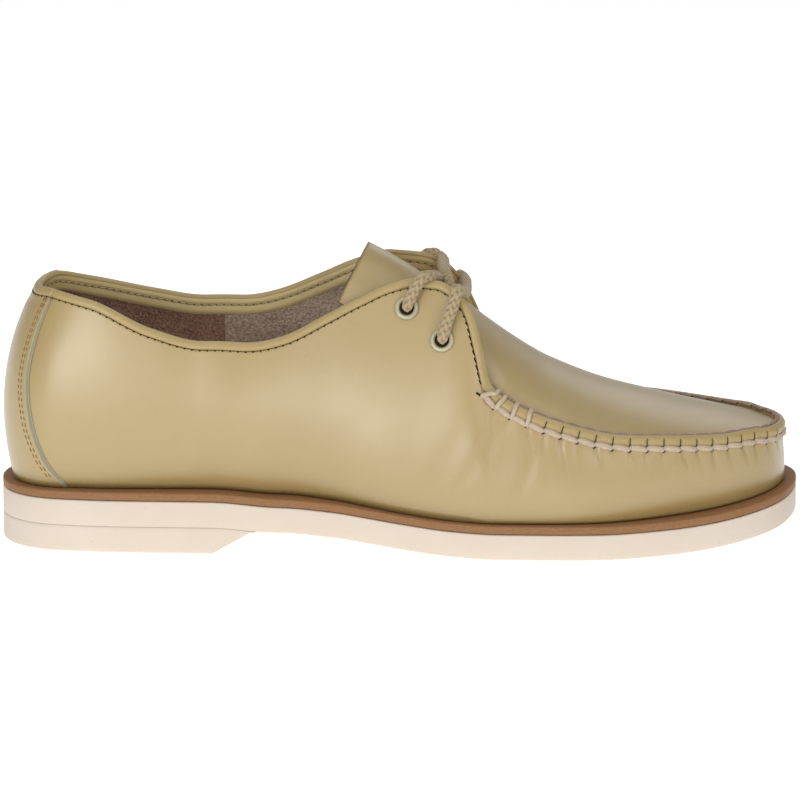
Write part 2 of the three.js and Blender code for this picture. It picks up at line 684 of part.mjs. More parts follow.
function makeApronTongue() {
  const grid = apronRows().map((row) =>
    Array.from({ length: apronColumns + 1 }, (_, j) => archPoint(row, (2 * j) / apronColumns - 1)),
  );
  const near = (list, i) => list[THREE.MathUtils.clamp(i, 0, list.length - 1)];
  const under = grid.map((row, i) =>
    row.map((point, j) => {
      const backward = near(grid, i + 1)[j].clone().sub(near(grid, i - 1)[j]);
      const inward = near(row, j + 1).clone().sub(near(row, j - 1));
      return point.clone().addScaledVector(inward.cross(backward).normalize(), -apronThickness);
    }),
  );
  const width = apronColumns + 1;
  const positions = [...grid, ...under].flat().flatMap((point) => point.toArray());
  const offset = grid.length * width;
  const faces = [];
  const quad = (a, b, c, d) => faces.push(a, b, c, a, c, d);
  for (let i = 0; i < grid.length - 1; i += 1) {
    for (let j = 0; j < apronColumns; j += 1) {
      const [a, b] = [i * width + j, (i + 1) * width + j];
      quad(a, a + 1, b + 1, b);
      quad(offset + a, offset + b, offset + b + 1, offset + a + 1);
    }
    const [first, second] = [i * width, (i + 1) * width];
    quad(first, second, offset + second, offset + first);
    quad(first + apronColumns, offset + first + apronColumns, offset + second + apronColumns, second + apronColumns);
  }
  const last = (grid.length - 1) * width;
  for (let j = 0; j < apronColumns; j += 1) {
    quad(j, offset + j, offset + j + 1, j + 1);
    quad(last + j, last + j + 1, offset + last + j + 1, offset + last + j);
  }
  addPiece('apron_tongue', indexedGeometry(positions, faces), 'leather');
}

// A point of a route of the lace
const tongueCrest = curveThrough([...tongueSections.toReversed(), ...apronCrest], 'height');
function lacePoint(row) {
  if (row.eyelet) {
    const { centre, facing } = eyelets.find(({ name }) => name === row.eyelet);
    const distance = curvedSeatGap + eyeletFlangeHeight + seatGap + laceDiameter / 2;
    return centre.clone().addScaledVector(facing, distance);
  }
  const above = row.above * laceDiameter;
  if (row.side) {
    const u = turnAt(row.along, row.side);
    return wallPoint(u, 1 + above / sectionAt(u).rise, row.outward * laceDiameter);
  }
  const [lateral, medial] = ['lateral', 'medial'].map((side) => wallPoint(turnAt(row.along, side), 1, 0));
  const point = lateral.clone().lerp(medial, row.across);
  return point.setZ(midsoleTop(point.x) + tongueCrest(row.along) * upperHeight + above);
}

// A length of round lace along a route
function laceTube(route) {
  const path = new THREE.CatmullRomCurve3(route.map(lacePoint), false, 'centripetal');
  const section = new THREE.Shape(
    Array.from({ length: laceSides }, (_, i) => {
      const angle = (2 * Math.PI * i) / laceSides;
      return new THREE.Vector2(Math.cos(angle), Math.sin(angle)).multiplyScalar(laceDiameter / 2);
    }),
  );
  const steps = Math.round(path.getLength() / laceStep);
  return toSolid(new THREE.ExtrudeGeometry(section, { steps, extrudePath: path, bevelEnabled: false }));
}

function makeLace() {
  addPiece('lace_lower_bar', toGeometry(laceTube(lowerBarRoute)), 'cord');
  const crossing = laceTube(lateralStrandRoute).add(laceTube(medialStrandRoute));
  addPiece('lace_upper_crossing', toGeometry(crossing), 'cord');
}

makeOutsole();
makeMidsole();
makeHeelLift();
makeUpper();
makeInsole();
makeApronTongue();
makeEyelets();
makeLace();

export default shoe;
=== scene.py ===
# %% [markdown]
# # A boat shoe
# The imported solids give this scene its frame: a right shoe with the toe towards +X, its inner side towards +Y
# and the floor at Z = 0. They are exact but faceted. Every visible surface is made again here, on the same
# named curves, finely enough to carry a seam, a pucker and a stitch.

# %% Frame
import math

import bmesh
import bpy
import numpy as np
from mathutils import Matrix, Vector


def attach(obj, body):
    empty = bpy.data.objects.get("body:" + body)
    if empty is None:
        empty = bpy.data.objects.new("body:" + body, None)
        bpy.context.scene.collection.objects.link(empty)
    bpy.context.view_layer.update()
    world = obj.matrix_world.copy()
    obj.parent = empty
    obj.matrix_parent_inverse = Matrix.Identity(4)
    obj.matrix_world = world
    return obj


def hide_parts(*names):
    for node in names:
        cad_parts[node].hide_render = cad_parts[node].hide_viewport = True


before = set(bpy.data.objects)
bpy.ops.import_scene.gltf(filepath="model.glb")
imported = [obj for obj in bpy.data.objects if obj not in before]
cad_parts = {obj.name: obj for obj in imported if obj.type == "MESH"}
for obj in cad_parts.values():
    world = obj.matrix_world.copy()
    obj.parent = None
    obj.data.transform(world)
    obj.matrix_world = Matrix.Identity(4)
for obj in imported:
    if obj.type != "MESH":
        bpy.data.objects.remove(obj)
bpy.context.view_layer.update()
scene = bpy.context.scene
MM = 0.001

# %% [markdown]
# ## Sizes
# A shoemaker starts from a last and a few measures. The values below are those of the solids, in
# millimetres, so that each surface lies where its solid lies. Only the last row is the scene's own: how far
# the visible binding and ridge reach down, and how far their rim lies below the top line. Tables give shares
# of these measures, one row for each section.

# %% Sizes of the sole and the upper
sole_length, ball_width, origin_from_back = 300.0, 100.0, 40.0
outsole_thickness, midsole_thickness, heel_lift_height = 9.7, 3.0, 9.7
heel_seat_length, heel_breast_slope = 79.5, 1.7
toe_spring, arch_rise = 9.0, 8.4
upper_height, upper_inset, upper_wall = 88.0, 10.0, 2.0
binding_rise, ridge_height, ridge_rise = 0.8, 4.2, 1.1
back_strip_width, back_strip_rise = 40.0, 1.1
insole_thickness, apron_thickness = 3.0, 2.2
tongue_width, tongue_drop = 50.0, 20.0
eyelet_hole_radius, eyelet_flange_radius = 2.65, 4.5
eyelet_flange_height, eyelet_barrel_wall = 1.0, 0.6
lace_diameter = 4.5
seat_gap, curved_seat_gap, insole_side_gap = 0.3, 0.5, 1.0
throat_along, apron_start = 0.61, 0.012
binding_foot, ridge_foot, rim_drop = 2.6, 3.6, 0.4


def table(columns, *rows):
    """Rows of numbers under named columns."""
    names = columns.split()
    return [dict(zip(names, row)) for row in rows]


sole_plan = table(
    "along lateral medial",
    (0.012, 0.32, 0.32), (0.045, 0.535, 0.535), (0.11, 0.645, 0.65), (0.25, 0.71, 0.69),
    (0.37, 0.77, 0.68), (0.5, 0.86, 0.77), (0.62, 0.93, 0.93), (0.72, 0.95, 1.03),
    (0.8, 0.905, 1.02), (0.88, 0.775, 0.92), (0.94, 0.6, 0.77), (0.98, 0.38, 0.6),
)
toe_tip_side = 0.12
tread_profile = table(
    "along heel arch toe",
    (0, 1, 0, 0), (0.265, 1, 0, 0), (0.35, 0, 1, 0), (0.415, 0, 0.84, 0), (0.4625, 0, 0.6, 0),
    (0.5, 0, 0.39, 0), (0.565, 0, 0.1, 0), (0.62, 0, 0, 0), (0.74, 0, 0, 0), (0.84, 0, 0, 0.13),
    (0.88, 0, 0, 0.23), (0.92, 0, 0, 0.4), (0.955, 0, 0, 0.61), (1, 0, 0, 1),
)
top_line = table(
    "along lateral_height medial_height lateral_inset medial_inset",
    (0, 0.833, 0.833, 1.43, 1.43), (0.045, 0.842, 0.846, 1.2, 1.2), (0.11, 0.81, 0.805, 0.76, 0.78),
    (0.19, 0.692, 0.747, 0.65, 0.65), (0.253, 0.638, 0.716, 0.75, 0.65), (0.3, 0.639, 0.723, 0.91, 0.66),
    (0.35, 0.675, 0.767, 1.11, 0.76), (0.4, 0.773, 0.852, 1.35, 0.94), (0.445, 0.875, 0.942, 1.63, 1.24),
    (0.48, 0.947, 0.999, 1.84, 1.58), (0.515, 0.988, 1.008, 1.94, 1.8), (0.54, 0.991, 0.982, 1.94, 1.79),
    (0.557, 0.973, 0.93, 1.83, 1.7), (0.572, 0.935, 0.858, 1.69, 1.6), (0.585, 0.87, 0.775, 1.49, 1.46),
    (0.597, 0.735, 0.68, 1.15, 1.3), (0.61, 0.585, 0.6, 0.93, 1.12), (0.65, 0.492, 0.506, 0.76, 0.9),
    (0.7, 0.43, 0.45, 0.75, 0.85), (0.77, 0.373, 0.403, 0.8, 0.9), (0.85, 0.344, 0.369, 0.8, 1),
    (0.92, 0.312, 0.33, 0.85, 1), (0.97, 0.29, 0.295, 0.95, 0.96), (1, 0.255, 0.255, 0.54, 0.54),
)
wall_sections = table(
    "along lateral_foot medial_foot lateral_belly medial_belly lateral_shoulder medial_shoulder",
    (0, 0.5, 0.5, -0.1, -0.1, 0.05, 0.05), (0.045, 0.55, 0.52, -0.08, -0.08, 0.08, 0.08),
    (0.11, 0.6, 0.5, 0, 0, 0.15, 0.15), (0.25, 0.8, 0.5, 0.15, 0.1, 0.3, 0.25),
    (0.35, 0.85, 0.5, 0.15, 0.05, 0.4, 0.2), (0.5, 0.4, 0.45, -0.1, -0.1, 0.8, 0.7),
    (0.585, 0.35, 0.5, -0.1, 0, 0.6, 0.65), (0.7, 0.42, 0.5, 0, 0, 0.4, 0.4),
    (0.8, 0.7, 0.6, 0.25, 0.15, 0.45, 0.45), (0.9, 0.92, 0.7, 0.5, 0.3, 0.65, 0.65),
    (0.97, 0.85, 0.75, 0.6, 0.45, 0.8, 0.75), (1, 0.46, 0.46, 0.38, 0.38, 0.55, 0.55),
)
back_strip_shape = table(
    "along half", (0, 1.1), (0.06, 0.98), (0.15, 0.85), (0.35, 0.71), (0.57, 0.65), (0.8, 0.71), (0.97, 0.84),
    (1, 0.86),
)
apron_crest = table(
    "along height",
    (0.6, 0.805), (0.615, 0.772), (0.645, 0.7), (0.676, 0.63), (0.71, 0.573), (0.74, 0.534),
    (0.773, 0.5), (0.82, 0.452), (0.87, 0.4), (0.92, 0.335), (0.96, 0.27), (1, 0.2),
)
tongue_sections = table(
    "along height half drop lean",
    (0.592, 0.835, 0.62, 1.05, 0.2), (0.572, 0.88, 0.56, 1.02, 0.38), (0.545, 0.93, 0.51, 1, 0.52),
    (0.517, 0.985, 0.47, 1, 0.58), (0.488, 1.03, 0.445, 0.96, 0.6), (0.46, 1.065, 0.43, 0.92, 0.6),
)
eyelet_places = table("name along height", ("lower", 0.548, 0.77), ("upper", 0.503, 0.884))
print("tables:", len(top_line), "rows of the top line,", len(wall_sections), "sections of the wall")

# %% [markdown]
# ## Curves
# Two kinds of curve carry the whole shoe. A column of a table becomes a smooth curve that never runs past a
# peak. The plan of the sole becomes one closed spline, measured by its length, and every place on the upper
# is named by how far round that outline it is.

# %% Curves through tables


def curve_through(rows, column):
    places = np.array([row["along"] for row in rows], float)
    values = np.array([row[column] for row in rows], float)
    slopes = np.diff(values) / np.diff(places)
    tangents = np.concatenate([slopes[:1], np.zeros(len(slopes) - 1), slopes[-1:]])
    before, after = slopes[:-1], slopes[1:]
    rising = before * after > 0
    total = np.where(rising, before + after, 1.0)
    tangents[1:-1] = np.where(rising, 2 * before * after / total, 0.0)

    def curve(at):
        place = np.clip(at, places[0], places[-1])
        i = np.clip(np.searchsorted(places, place) - 1, 0, len(slopes) - 1)
        span = places[i + 1] - places[i]
        t = (place - places[i]) / span
        ends = values[i] * (1 + 2 * t) * (1 - t) ** 2 + values[i + 1] * t * t * (3 - 2 * t)
        bends = tangents[i] * t * (1 - t) ** 2 - tangents[i + 1] * t * t * (1 - t)
        return ends + span * bends

    return curve


def smoothstep(low, high, value):
    t = np.clip((value - low) / (high - low), 0, 1)
    return t * t * (3 - 2 * t)


def spline(points, steps, closed=False):
    """Points of a centripetal Catmull-Rom spline through the given points."""
    points = np.array(points, float)
    if closed:
        padded = np.concatenate([points[-1:], points, points[:2]])
    else:
        padded = np.concatenate([[2 * points[0] - points[1]], points, [2 * points[-1] - points[-2]]])
    gaps = np.sqrt(np.linalg.norm(np.diff(padded, axis=0), axis=1))
    t = np.linspace(0, 1, steps, endpoint=False)[:, None]
    pieces = []
    for i in range(1, len(padded) - 2):
        p0, p1, p2, p3 = padded[i - 1 : i + 3]
        d0, d1, d2 = gaps[i - 1 : i + 2]
        start = ((p1 - p0) / d0 - (p2 - p0) / (d0 + d1) + (p2 - p1) / d1) * d1
        end = ((p2 - p1) / d1 - (p3 - p1) / (d1 + d2) + (p3 - p2) / d2) * d1
        cubic = 2 * p1 - 2 * p2 + start + end
        square = -3 * p1 + 3 * p2 - 2 * start - end
        pieces.append(p1 + start * t + square * t**2 + cubic * t**3)
    return np.concatenate(pieces + [[padded[-2]]])


def lengths_along(points):
    steps = np.linalg.norm(np.diff(points, axis=0), axis=1)
    return np.concatenate([[0.0], np.cumsum(steps)])


# %% Outline of the sole
half_ball = ball_width / 2


def station_x(along):
    return along * sole_length - origin_from_back


def share_along(x):
    return (x + origin_from_back) / sole_length


plan_points = (
    [(station_x(0), 0)]
    + [(station_x(row["along"]), -row["lateral"] * half_ball) for row in sole_plan]
    + [(station_x(1), toe_tip_side * half_ball)]
    + [(station_x(row["along"]), row["medial"] * half_ball) for row in reversed(sole_plan)]
)
outline_points = spline(plan_points, 160, closed=True)
outline_arc = lengths_along(outline_points)
outline_length = outline_arc[-1]
outline_tangents = np.gradient(outline_points, outline_arc, axis=0)
outline_tangents[0] = outline_tangents[-1] = outline_tangents[1] + outline_tangents[-2]
outline_tangents /= np.linalg.norm(outline_tangents, axis=1)[:, None]


def edge_at(u):
    """Place on the outline, direction inwards, share of the length and whether it is the lateral side."""
    arc = np.mod(u, 1.0) * outline_length
    x, y = (np.interp(arc, outline_arc, outline_points[:, k]) for k in (0, 1))
    tx, ty = (np.interp(arc, outline_arc, outline_tangents[:, k]) for k in (0, 1))
    return x, y, -ty, tx, share_along(x), np.mod(u, 1.0) < 0.5


def turn_at(along, side):
    """How far round the outline a share of the length is reached on one side."""
    low, high = (0.0, 0.5) if side == "lateral" else (1.0, 0.5)
    for _ in range(40):
        middle = (low + high) / 2
        low, high = (middle, high) if edge_at(middle)[4] < along else (low, middle)
    return (low + high) / 2


print("outline:", round(outline_length, 1), "mm round the sole")

# %% Heights of the sole's layers
heel_share, arch_share, toe_share = (curve_through(tread_profile, name) for name in ("heel", "arch", "toe"))


def outsole_bottom(x):
    along = share_along(x)
    heel = heel_share(along) * (heel_lift_height + seat_gap)
    return heel + arch_share(along) * arch_rise + toe_share(along) * toe_spring


def midsole_bottom(x):
    return outsole_bottom(x) + outsole_thickness + seat_gap


def midsole_top(x):
    return midsole_bottom(x) + midsole_thickness


# %% [markdown]
# ## The wall of the upper
# A section of the wall is one Bezier curve from its foot on the sole, over belly and shoulder, to the top
# line. Its four insets come from the tables. `wall_point` gives any point of it, at any distance from its
# outer face, so leather, binding, ridge and lining all follow one shape.

# %% Wall function
wall_columns = {}
for side in ("lateral", "medial"):
    for name in ("foot", "belly", "shoulder"):
        wall_columns[side, name] = curve_through(wall_sections, f"{side}_{name}")
    for name in ("height", "inset"):
        wall_columns[side, name] = curve_through(top_line, f"{side}_{name}")


def wall_share(name, along, lateral):
    return np.where(lateral, wall_columns["lateral", name](along), wall_columns["medial", name](along))


def section_at(u):
    x, y, nx, ny, along, lateral = edge_at(u)
    names = ("foot", "belly", "shoulder", "inset")
    insets = [wall_share(name, along, lateral) * upper_inset for name in names]
    foot_height = midsole_top(x + nx * insets[0]) + seat_gap
    top_height = midsole_top(x + nx * insets[3]) + wall_share("height", along, lateral) * upper_height
    return (x, y, nx, ny), insets, foot_height, top_height - foot_height


def wall_point(u, t, outward):
    """Points of the wall: t is the share of its height, outward the distance from its outer face."""
    (x, y, nx, ny), (foot, belly, shoulder, top), foot_height, rise = section_at(u)
    rest = 1 - t
    inset = foot * rest**3 + 3 * belly * t * rest**2 + 3 * shoulder * t * t * rest + top * t**3
    slope = 3 * ((belly - foot) * rest**2 + 2 * (shoulder - belly) * t * rest + (top - shoulder) * t * t)
    steep = np.hypot(slope, rise)
    inset = inset - outward * rise / steep
    height = np.maximum(foot_height + t * rise + outward * slope / steep, foot_height)
    return np.stack([x + nx * inset, y + ny * inset, height], axis=-1)


strip_half = curve_through(back_strip_shape, "half")


def strip_edge(t):
    return strip_half(np.clip(t, 0, 1)) * back_strip_width


print("collar at the back:", round(float(wall_point(0.0, 1.0, 0.0)[2]), 1), "mm above the floor")

# %% [markdown]
# ## Meshes
# A surface is a grid of points, so one helper turns a grid into a mesh object with smooth shading, its
# finishes and any painted attributes. All pieces sit at the origin with their place in the mesh.

# %% Mesh helpers
pieces = {}


def new_object(name, data):
    made = bpy.data.objects.new(name, data)
    scene.collection.objects.link(made)
    return made


def mesh_object(name, points, faces, finishes, part_of=None, attributes=None):
    """A smooth mesh from points in millimetres. part_of says which of its finishes each face has."""
    mesh = bpy.data.meshes.new(name)
    mesh.from_pydata((np.asarray(points, float) * MM).tolist(), [], faces)
    mesh.shade_smooth()
    if part_of is not None:
        mesh.polygons.foreach_set("material_index", part_of)
    for key, values in (attributes or {}).items():
        layer = mesh.attributes.new(key, "FLOAT", "POINT")
        layer.data.foreach_set("value", np.asarray(values, np.float32).ravel())
    for finish in finishes:
        mesh.materials.append(finish)
    pieces[name] = new_object(name, mesh)
    return pieces[name]


def grid_faces(rows, columns, wrap_rows=False, wrap_columns=False, start=0):
    """Quads between neighbouring rows of a grid whose points are numbered row by row."""
    i = np.arange(rows if wrap_rows else rows - 1)[:, None]
    j = np.arange(columns if wrap_columns else columns - 1)[None, :]
    below, right = (i + 1) % rows, (j + 1) % columns
    quads = np.stack(
        [i * columns + j, below * columns + j, below * columns + right, i * columns + right], axis=-1
    )
    return (quads.reshape(-1, 4) + start).tolist()


def finish_piece(made, slot_name, *nodes):
    """A finished piece rides on the shoe's one body and stands for the solids that it shows better."""
    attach(made, "root")
    if nodes:
        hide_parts(*nodes)
    return made


# %% [markdown]
# ## Shader maths
# A finish is a node tree. `Value` wraps one socket, so that `0.4 + 0.2 * grain` adds the Math nodes by
# itself. Every other node comes from `Finish.node`.

# %% Shader helpers


class Value:
    """One output socket of a finish, which can be used in sums and products."""

    def __init__(self, finish, socket):
        self.finish, self.socket = finish, socket

    def math(self, operation, first, second):
        return self.finish.node("ShaderNodeMath", {"operation": operation}, {0: first, 1: second})

    def __add__(self, other):
        return self.math("ADD", self, other)

    def __mul__(self, other):
        return self.math("MULTIPLY", self, other)

    def __rsub__(self, other):
        return self.math("SUBTRACT", other, self)

    __radd__, __rmul__ = __add__, __mul__

    def clamped(self, low=0.0, high=1.0):
        settings = {"clamp": True}
        inputs = {"Value": self, "From Min": low, "From Max": high}
        return self.finish.node("ShaderNodeMapRange", settings, inputs)


class Finish:
    """A named material on a Principled shader."""

    def __init__(self, name, **fixed):
        self.material = bpy.data.materials.new(name)
        self.material.use_nodes = True
        self.tree = self.material.node_tree
        self.shader = self.tree.nodes["Principled BSDF"]
        for key, value in fixed.items():
            self.shader.inputs[key.replace("_", " ")].default_value = value

    def node(self, kind, settings=None, inputs=None, output=0):
        made = self.tree.nodes.new(kind)
        for key, value in (settings or {}).items():
            setattr(made, key, value)
        for key, value in (inputs or {}).items():
            if isinstance(value, Value):
                self.tree.links.new(value.socket, made.inputs[key])
            else:
                made.inputs[key].default_value = value
        return Value(self, made.outputs[output])

    def place(self):
        return self.node("ShaderNodeTexCoord", output="Object")

    def painted(self, name):
        return self.node("ShaderNodeAttribute", {"attribute_name": name}, output="Fac")

    def noise(self, size_mm, detail=2.0, place=None, stretch=None):
        where = place or self.place()
        if stretch:
            where = self.node("ShaderNodeMapping", None, {"Vector": where, "Scale": stretch})
        inputs = {"Vector": where, "Scale": 1 / (size_mm * MM), "Detail": detail}
        return self.node("ShaderNodeTexNoise", None, inputs)

    def cells(self, size_mm, feature):
        inputs = {"Vector": self.place(), "Scale": 1 / (size_mm * MM)}
        return self.node("ShaderNodeTexVoronoi", {"feature": feature}, inputs)

    def mix(self, amount, first, second):
        inputs = {0: amount, 6: first, 7: second}
        return self.node("ShaderNodeMix", {"data_type": "RGBA"}, inputs, output=2)

    def bump(self, height, depth_mm, strength=1.0, below=None):
        inputs = {"Height": height, "Distance": depth_mm * MM, "Strength": strength}
        if below:
            inputs["Normal"] = below
        return self.node("ShaderNodeBump", None, inputs)

    def feed(self, **links):
        for key, value in links.items():
            self.tree.links.new(value.socket, self.shader.inputs[key.replace("_", " ")])
        return self.material


def srgb(code):
    """Linear colour of a hexadecimal screen colour."""
    channels = [int(code[i : i + 2], 16) / 255 for i in (0, 2, 4)]
    linear = [c / 12.92 if c <= 0.04045 else ((c + 0.055) / 1.055) ** 2.4 for c in channels]
    return (*linear, 1.0)


# %% [markdown]
# ## Leather
# The leather is smooth and semi-glossy, an olive khaki with a fine pore grain. Colour drifts a little over
# the hide, painted shade darkens the seams' creases, and cut edges show a greyer core.

# %% Leather finish


def make_leather(name, color, dark, edge, coat=0.95):
    """The painted mask of creases darkens the leather as painted shade, and the painted `cut` gives it the
    colour of its edge.
    """
    finish = Finish(name, Roughness=0.5, Coat_Weight=coat, Coat_Roughness=0.34, Coat_IOR=1.75)
    drift = finish.noise(45, 3)
    tone = finish.mix(drift.clamped(0.35, 0.65) * 0.35, srgb(color), srgb(dark))
    # Painted shade: creases and seams darken towards a deep brown.
    tone = finish.mix(finish.painted("crease_shade"), tone, finish.mix(0.55, tone, srgb("2b2413")))
    tone = finish.mix(finish.painted("cut"), tone, srgb(edge))
    pores = finish.cells(0.55, "DISTANCE_TO_EDGE")
    grain = finish.noise(0.9, 3)
    broad = finish.noise(9, 2)
    fine = finish.bump(pores.clamped(0.0, 0.12) * 0.6 + grain * 0.5, 0.05)
    soft = finish.bump(broad, 0.25, 0.6, below=fine)
    return finish.feed(Base_Color=tone, Roughness=0.42 + 0.14 * grain, Normal=soft)


leather = make_leather("olive_leather", "ab9259", "9f864f", "7f7c57")
binding_leather = make_leather("binding_leather", "ac955f", "9d8652", "5f6668", 0.35)


def make_suede(name, color, dark, nap_mm):
    finish = Finish(name, Roughness=0.95, Specular_IOR_Level=0.15, Sheen_Weight=0.3, Sheen_Roughness=0.6)
    blotches = finish.noise(6, 4)
    nap = finish.noise(nap_mm, 3)
    tone = finish.mix((blotches * 0.3 + nap * 0.7).clamped(0.34, 0.68), srgb(dark), srgb(color))
    return finish.feed(Base_Color=tone, Normal=finish.bump(nap + blotches * 0.3, 0.9))


band_leather = make_leather("inner_band_leather", "d8c28a", "c6b07a", "b9b79a", 0.2)
smooth_lining = make_leather("smooth_lining", "b3a184", "a08f73", "c9c7b4")
dark_suede = make_suede("dark_suede_lining", "c09278", "745244", 0.75)
light_suede = make_suede("light_suede_lining", "dfc8b0", "9b8070", 0.9)
print("leathers:", leather.name, binding_leather.name, dark_suede.name, light_suede.name)


# %% Rubber, midsole, cord and metal finishes


def make_rubber():
    finish = Finish("cream_rubber", Roughness=0.6, Specular_IOR_Level=0.35, Subsurface_Weight=0.05)
    finish.shader.inputs["Subsurface Radius"].default_value = (0.004, 0.003, 0.002)
    drift = finish.noise(30, 3)
    speck = finish.noise(0.7, 3)
    tone = finish.mix(drift.clamped(0.3, 0.7) * 0.5, srgb("d8cbbc"), srgb("cfc1b0"))
    dots = 1.0 - finish.cells(8, "F1").clamped(0.025, 0.04)
    tone = finish.mix(dots * 0.35, tone, srgb("8f7a62"))
    return finish.feed(Base_Color=tone, Roughness=0.52 + 0.15 * speck, Normal=finish.bump(speck, 0.05))


def make_midsole_finish():
    finish = Finish("brown_midsole", Roughness=0.6, Specular_IOR_Level=0.3)
    fibres = finish.noise(0.6, 4, stretch=(0.6, 0.6, 1.0))
    tone = finish.mix(fibres.clamped(0.2, 0.8), srgb("845c39"), srgb("98704a"))
    return finish.feed(Base_Color=tone, Roughness=0.5 + 0.2 * fibres, Normal=finish.bump(fibres, 0.12))


def make_lace_finish():
    finish = Finish("braided_lace", Roughness=0.9, Specular_IOR_Level=0.2, Sheen_Weight=0.25)
    place = finish.node("ShaderNodeUVMap", {"uv_map": "braid"})
    fuzz = finish.noise(0.35, 3)
    # Painted shade in the hollows between the braid's strands.
    tone = finish.mix(finish.painted("crease_shade") * 0.9, srgb("af9b78"), srgb("6d5a3f"))
    tone = finish.mix(fuzz.clamped(0.3, 0.8) * 0.3, tone, srgb("c9b999"))
    strands = finish.noise(0.14, 1, place=place)
    return finish.feed(Base_Color=tone, Normal=finish.bump(fuzz * 0.6 + strands * 0.4, 0.12))


def make_enamel():
    finish = Finish("eyelet_enamel", Roughness=0.32, Metallic=0.25, Coat_Weight=0.4, Coat_Roughness=0.2)
    wear = finish.noise(1.5, 3)
    tone = finish.mix(wear.clamped(0.4, 0.7) * 0.4, srgb("b4b090"), srgb("a09c7e"))
    return finish.feed(Base_Color=tone, Roughness=0.28 + 0.1 * wear)


def make_thread(name, color, dark):
    finish = Finish(name, Roughness=0.75, Specular_IOR_Level=0.25)
    twist = finish.noise(0.3, 2)
    tone = finish.mix(twist.clamped(0.3, 0.7), srgb(dark), srgb(color))
    return finish.feed(Base_Color=tone, Normal=finish.bump(twist, 0.1))


rubber, midsole_finish, lace_finish = make_rubber(), make_midsole_finish(), make_lace_finish()
enamel = make_enamel()
pale_thread = make_thread("pale_thread", "d2bfaa", "a8947b")
olive_thread = make_thread("olive_thread", "6a5c38", "3d3420")
pale_olive_thread = make_thread("pale_olive_thread", "c9b98e", "8d7d52")
red_brown_thread = make_thread("red_brown_thread", "9f7c50", "7d5c38")
mauve_thread = make_thread("mauve_thread", "b29a8c", "7d675c")
slit_thread = make_thread("slit_thread", "574729", "352a15")
# Painted shade for needle holes and for the eyelets' holes.
painted_hole_shade = make_thread("painted_hole_shade", "2c2012", "191108")
raw_edge = make_thread("raw_edge", "6f7674", "565b5a")
print("finishes:", len(bpy.data.materials))

# %% [markdown]
# ## Sole
# The sole is three layers under each other: a brown midsole whose edge stands out all round, a cream outsole
# and a heel lift. Each is a loft of rings round the outline. Extra rings close to each edge keep it crisp and
# slightly rounded.

# %% Layers of the sole
ring_count, cap_count, spine_margin, shrink_until = 420, 10, 36.0, 0.999


def sole_ring(inset, height):
    """A ring inside the outline. Its inset and its height are functions of the place."""
    x, y, nx, ny, along, lateral = edge_at(np.arange(ring_count) / ring_count)
    shift = inset(along, lateral)
    x, y = x + nx * shift, y + ny * shift
    return np.stack([x, y, height(x)], axis=-1)


def inner_rings(inset, height):
    """Rings that shrink from an edge towards a spine down the middle of the sole."""
    outer = sole_ring(inset, height)
    spine = outer.copy()
    spine[:, 0] = np.clip(outer[:, 0], station_x(0) + spine_margin, station_x(1) - spine_margin)
    mirrored = outer[(-np.arange(ring_count)) % ring_count]
    spine[:, 1] = (outer[:, 1] + mirrored[:, 1]) / 2
    rings = []
    for share in np.linspace(0, shrink_until, cap_count + 1)[1:]:
        ring = outer + (spine - outer) * share
        ring[:, 2] = height(ring[:, 0])
        rings.append(ring)
    return rings


def corner_rings(corner, rise, height, count=3):
    """Rings round one corner of a layer: rise is 1 up from its lower face and -1 up to its upper face."""
    rings = []
    for step in range(count + 1):
        angle = (step if rise > 0 else count - step) / count * math.pi / 2
        inward, upward = 1 - math.sin(angle), rise * (1 - math.cos(angle))

        def inset_at(along, lateral, inward=inward):
            return inward * corner(along)

        def height_at(x, upward=upward):
            return height(x) + upward * corner(share_along(x))

        rings.append((inset_at, height_at))
    return rings


def make_layer(name, side_rings, finish, slot_name, node):
    """A closed layer: rings up the side, closed above and below by rings that shrink to a spine."""
    rings = [sole_ring(inset, height) for inset, height in side_rings]
    grid = np.array(inner_rings(*side_rings[0])[::-1] + rings + inner_rings(*side_rings[-1]))
    faces = [face[::-1] for face in grid_faces(len(grid), ring_count, wrap_columns=True)]
    made = mesh_object(name, grid.reshape(-1, 3), faces, [finish])
    weld(made)
    return finish_piece(made, slot_name, node)


def weld(made, distance=0.02):
    """Merge doubles, drop what has no area and let the faces point outwards."""
    cleaned = bmesh.new()
    cleaned.from_mesh(made.data)
    bmesh.ops.remove_doubles(cleaned, verts=cleaned.verts, dist=distance * MM)
    bmesh.ops.dissolve_degenerate(cleaned, edges=cleaned.edges, dist=0.001 * MM)
    bmesh.ops.holes_fill(cleaned, edges=cleaned.edges, sides=0)
    bmesh.ops.recalc_face_normals(cleaned, faces=cleaned.faces)
    cleaned.to_mesh(made.data)
    cleaned.free()
    made.data.shade_smooth()


def outsole_top(x):
    return outsole_bottom(x) + outsole_thickness


def tread_corner(along):
    """Crisp where the heel lift sits below, round on the tread in front of it."""
    return 0.2 + 1.0 * smoothstep(0.3, 0.36, along)


def slight_corner(along):
    """The same small radius all round."""
    return 0.6 + 0 * along


outsole_rings = corner_rings(tread_corner, 1, outsole_bottom) + corner_rings(slight_corner, -1, outsole_top)
outsole = make_layer("outsole_rubber", outsole_rings, rubber, "rubber_cream", "outsole")
midsole_rings = corner_rings(slight_corner, 1, midsole_bottom) + corner_rings(slight_corner, -1, midsole_top)
midsole = make_layer("midsole_edge", midsole_rings, midsole_finish, "midsole_brown", "midsole")
print("sole layers:", len(outsole.data.polygons), len(midsole.data.polygons), "faces")

# %% Heel lift
breast_foot = heel_seat_length - origin_from_back


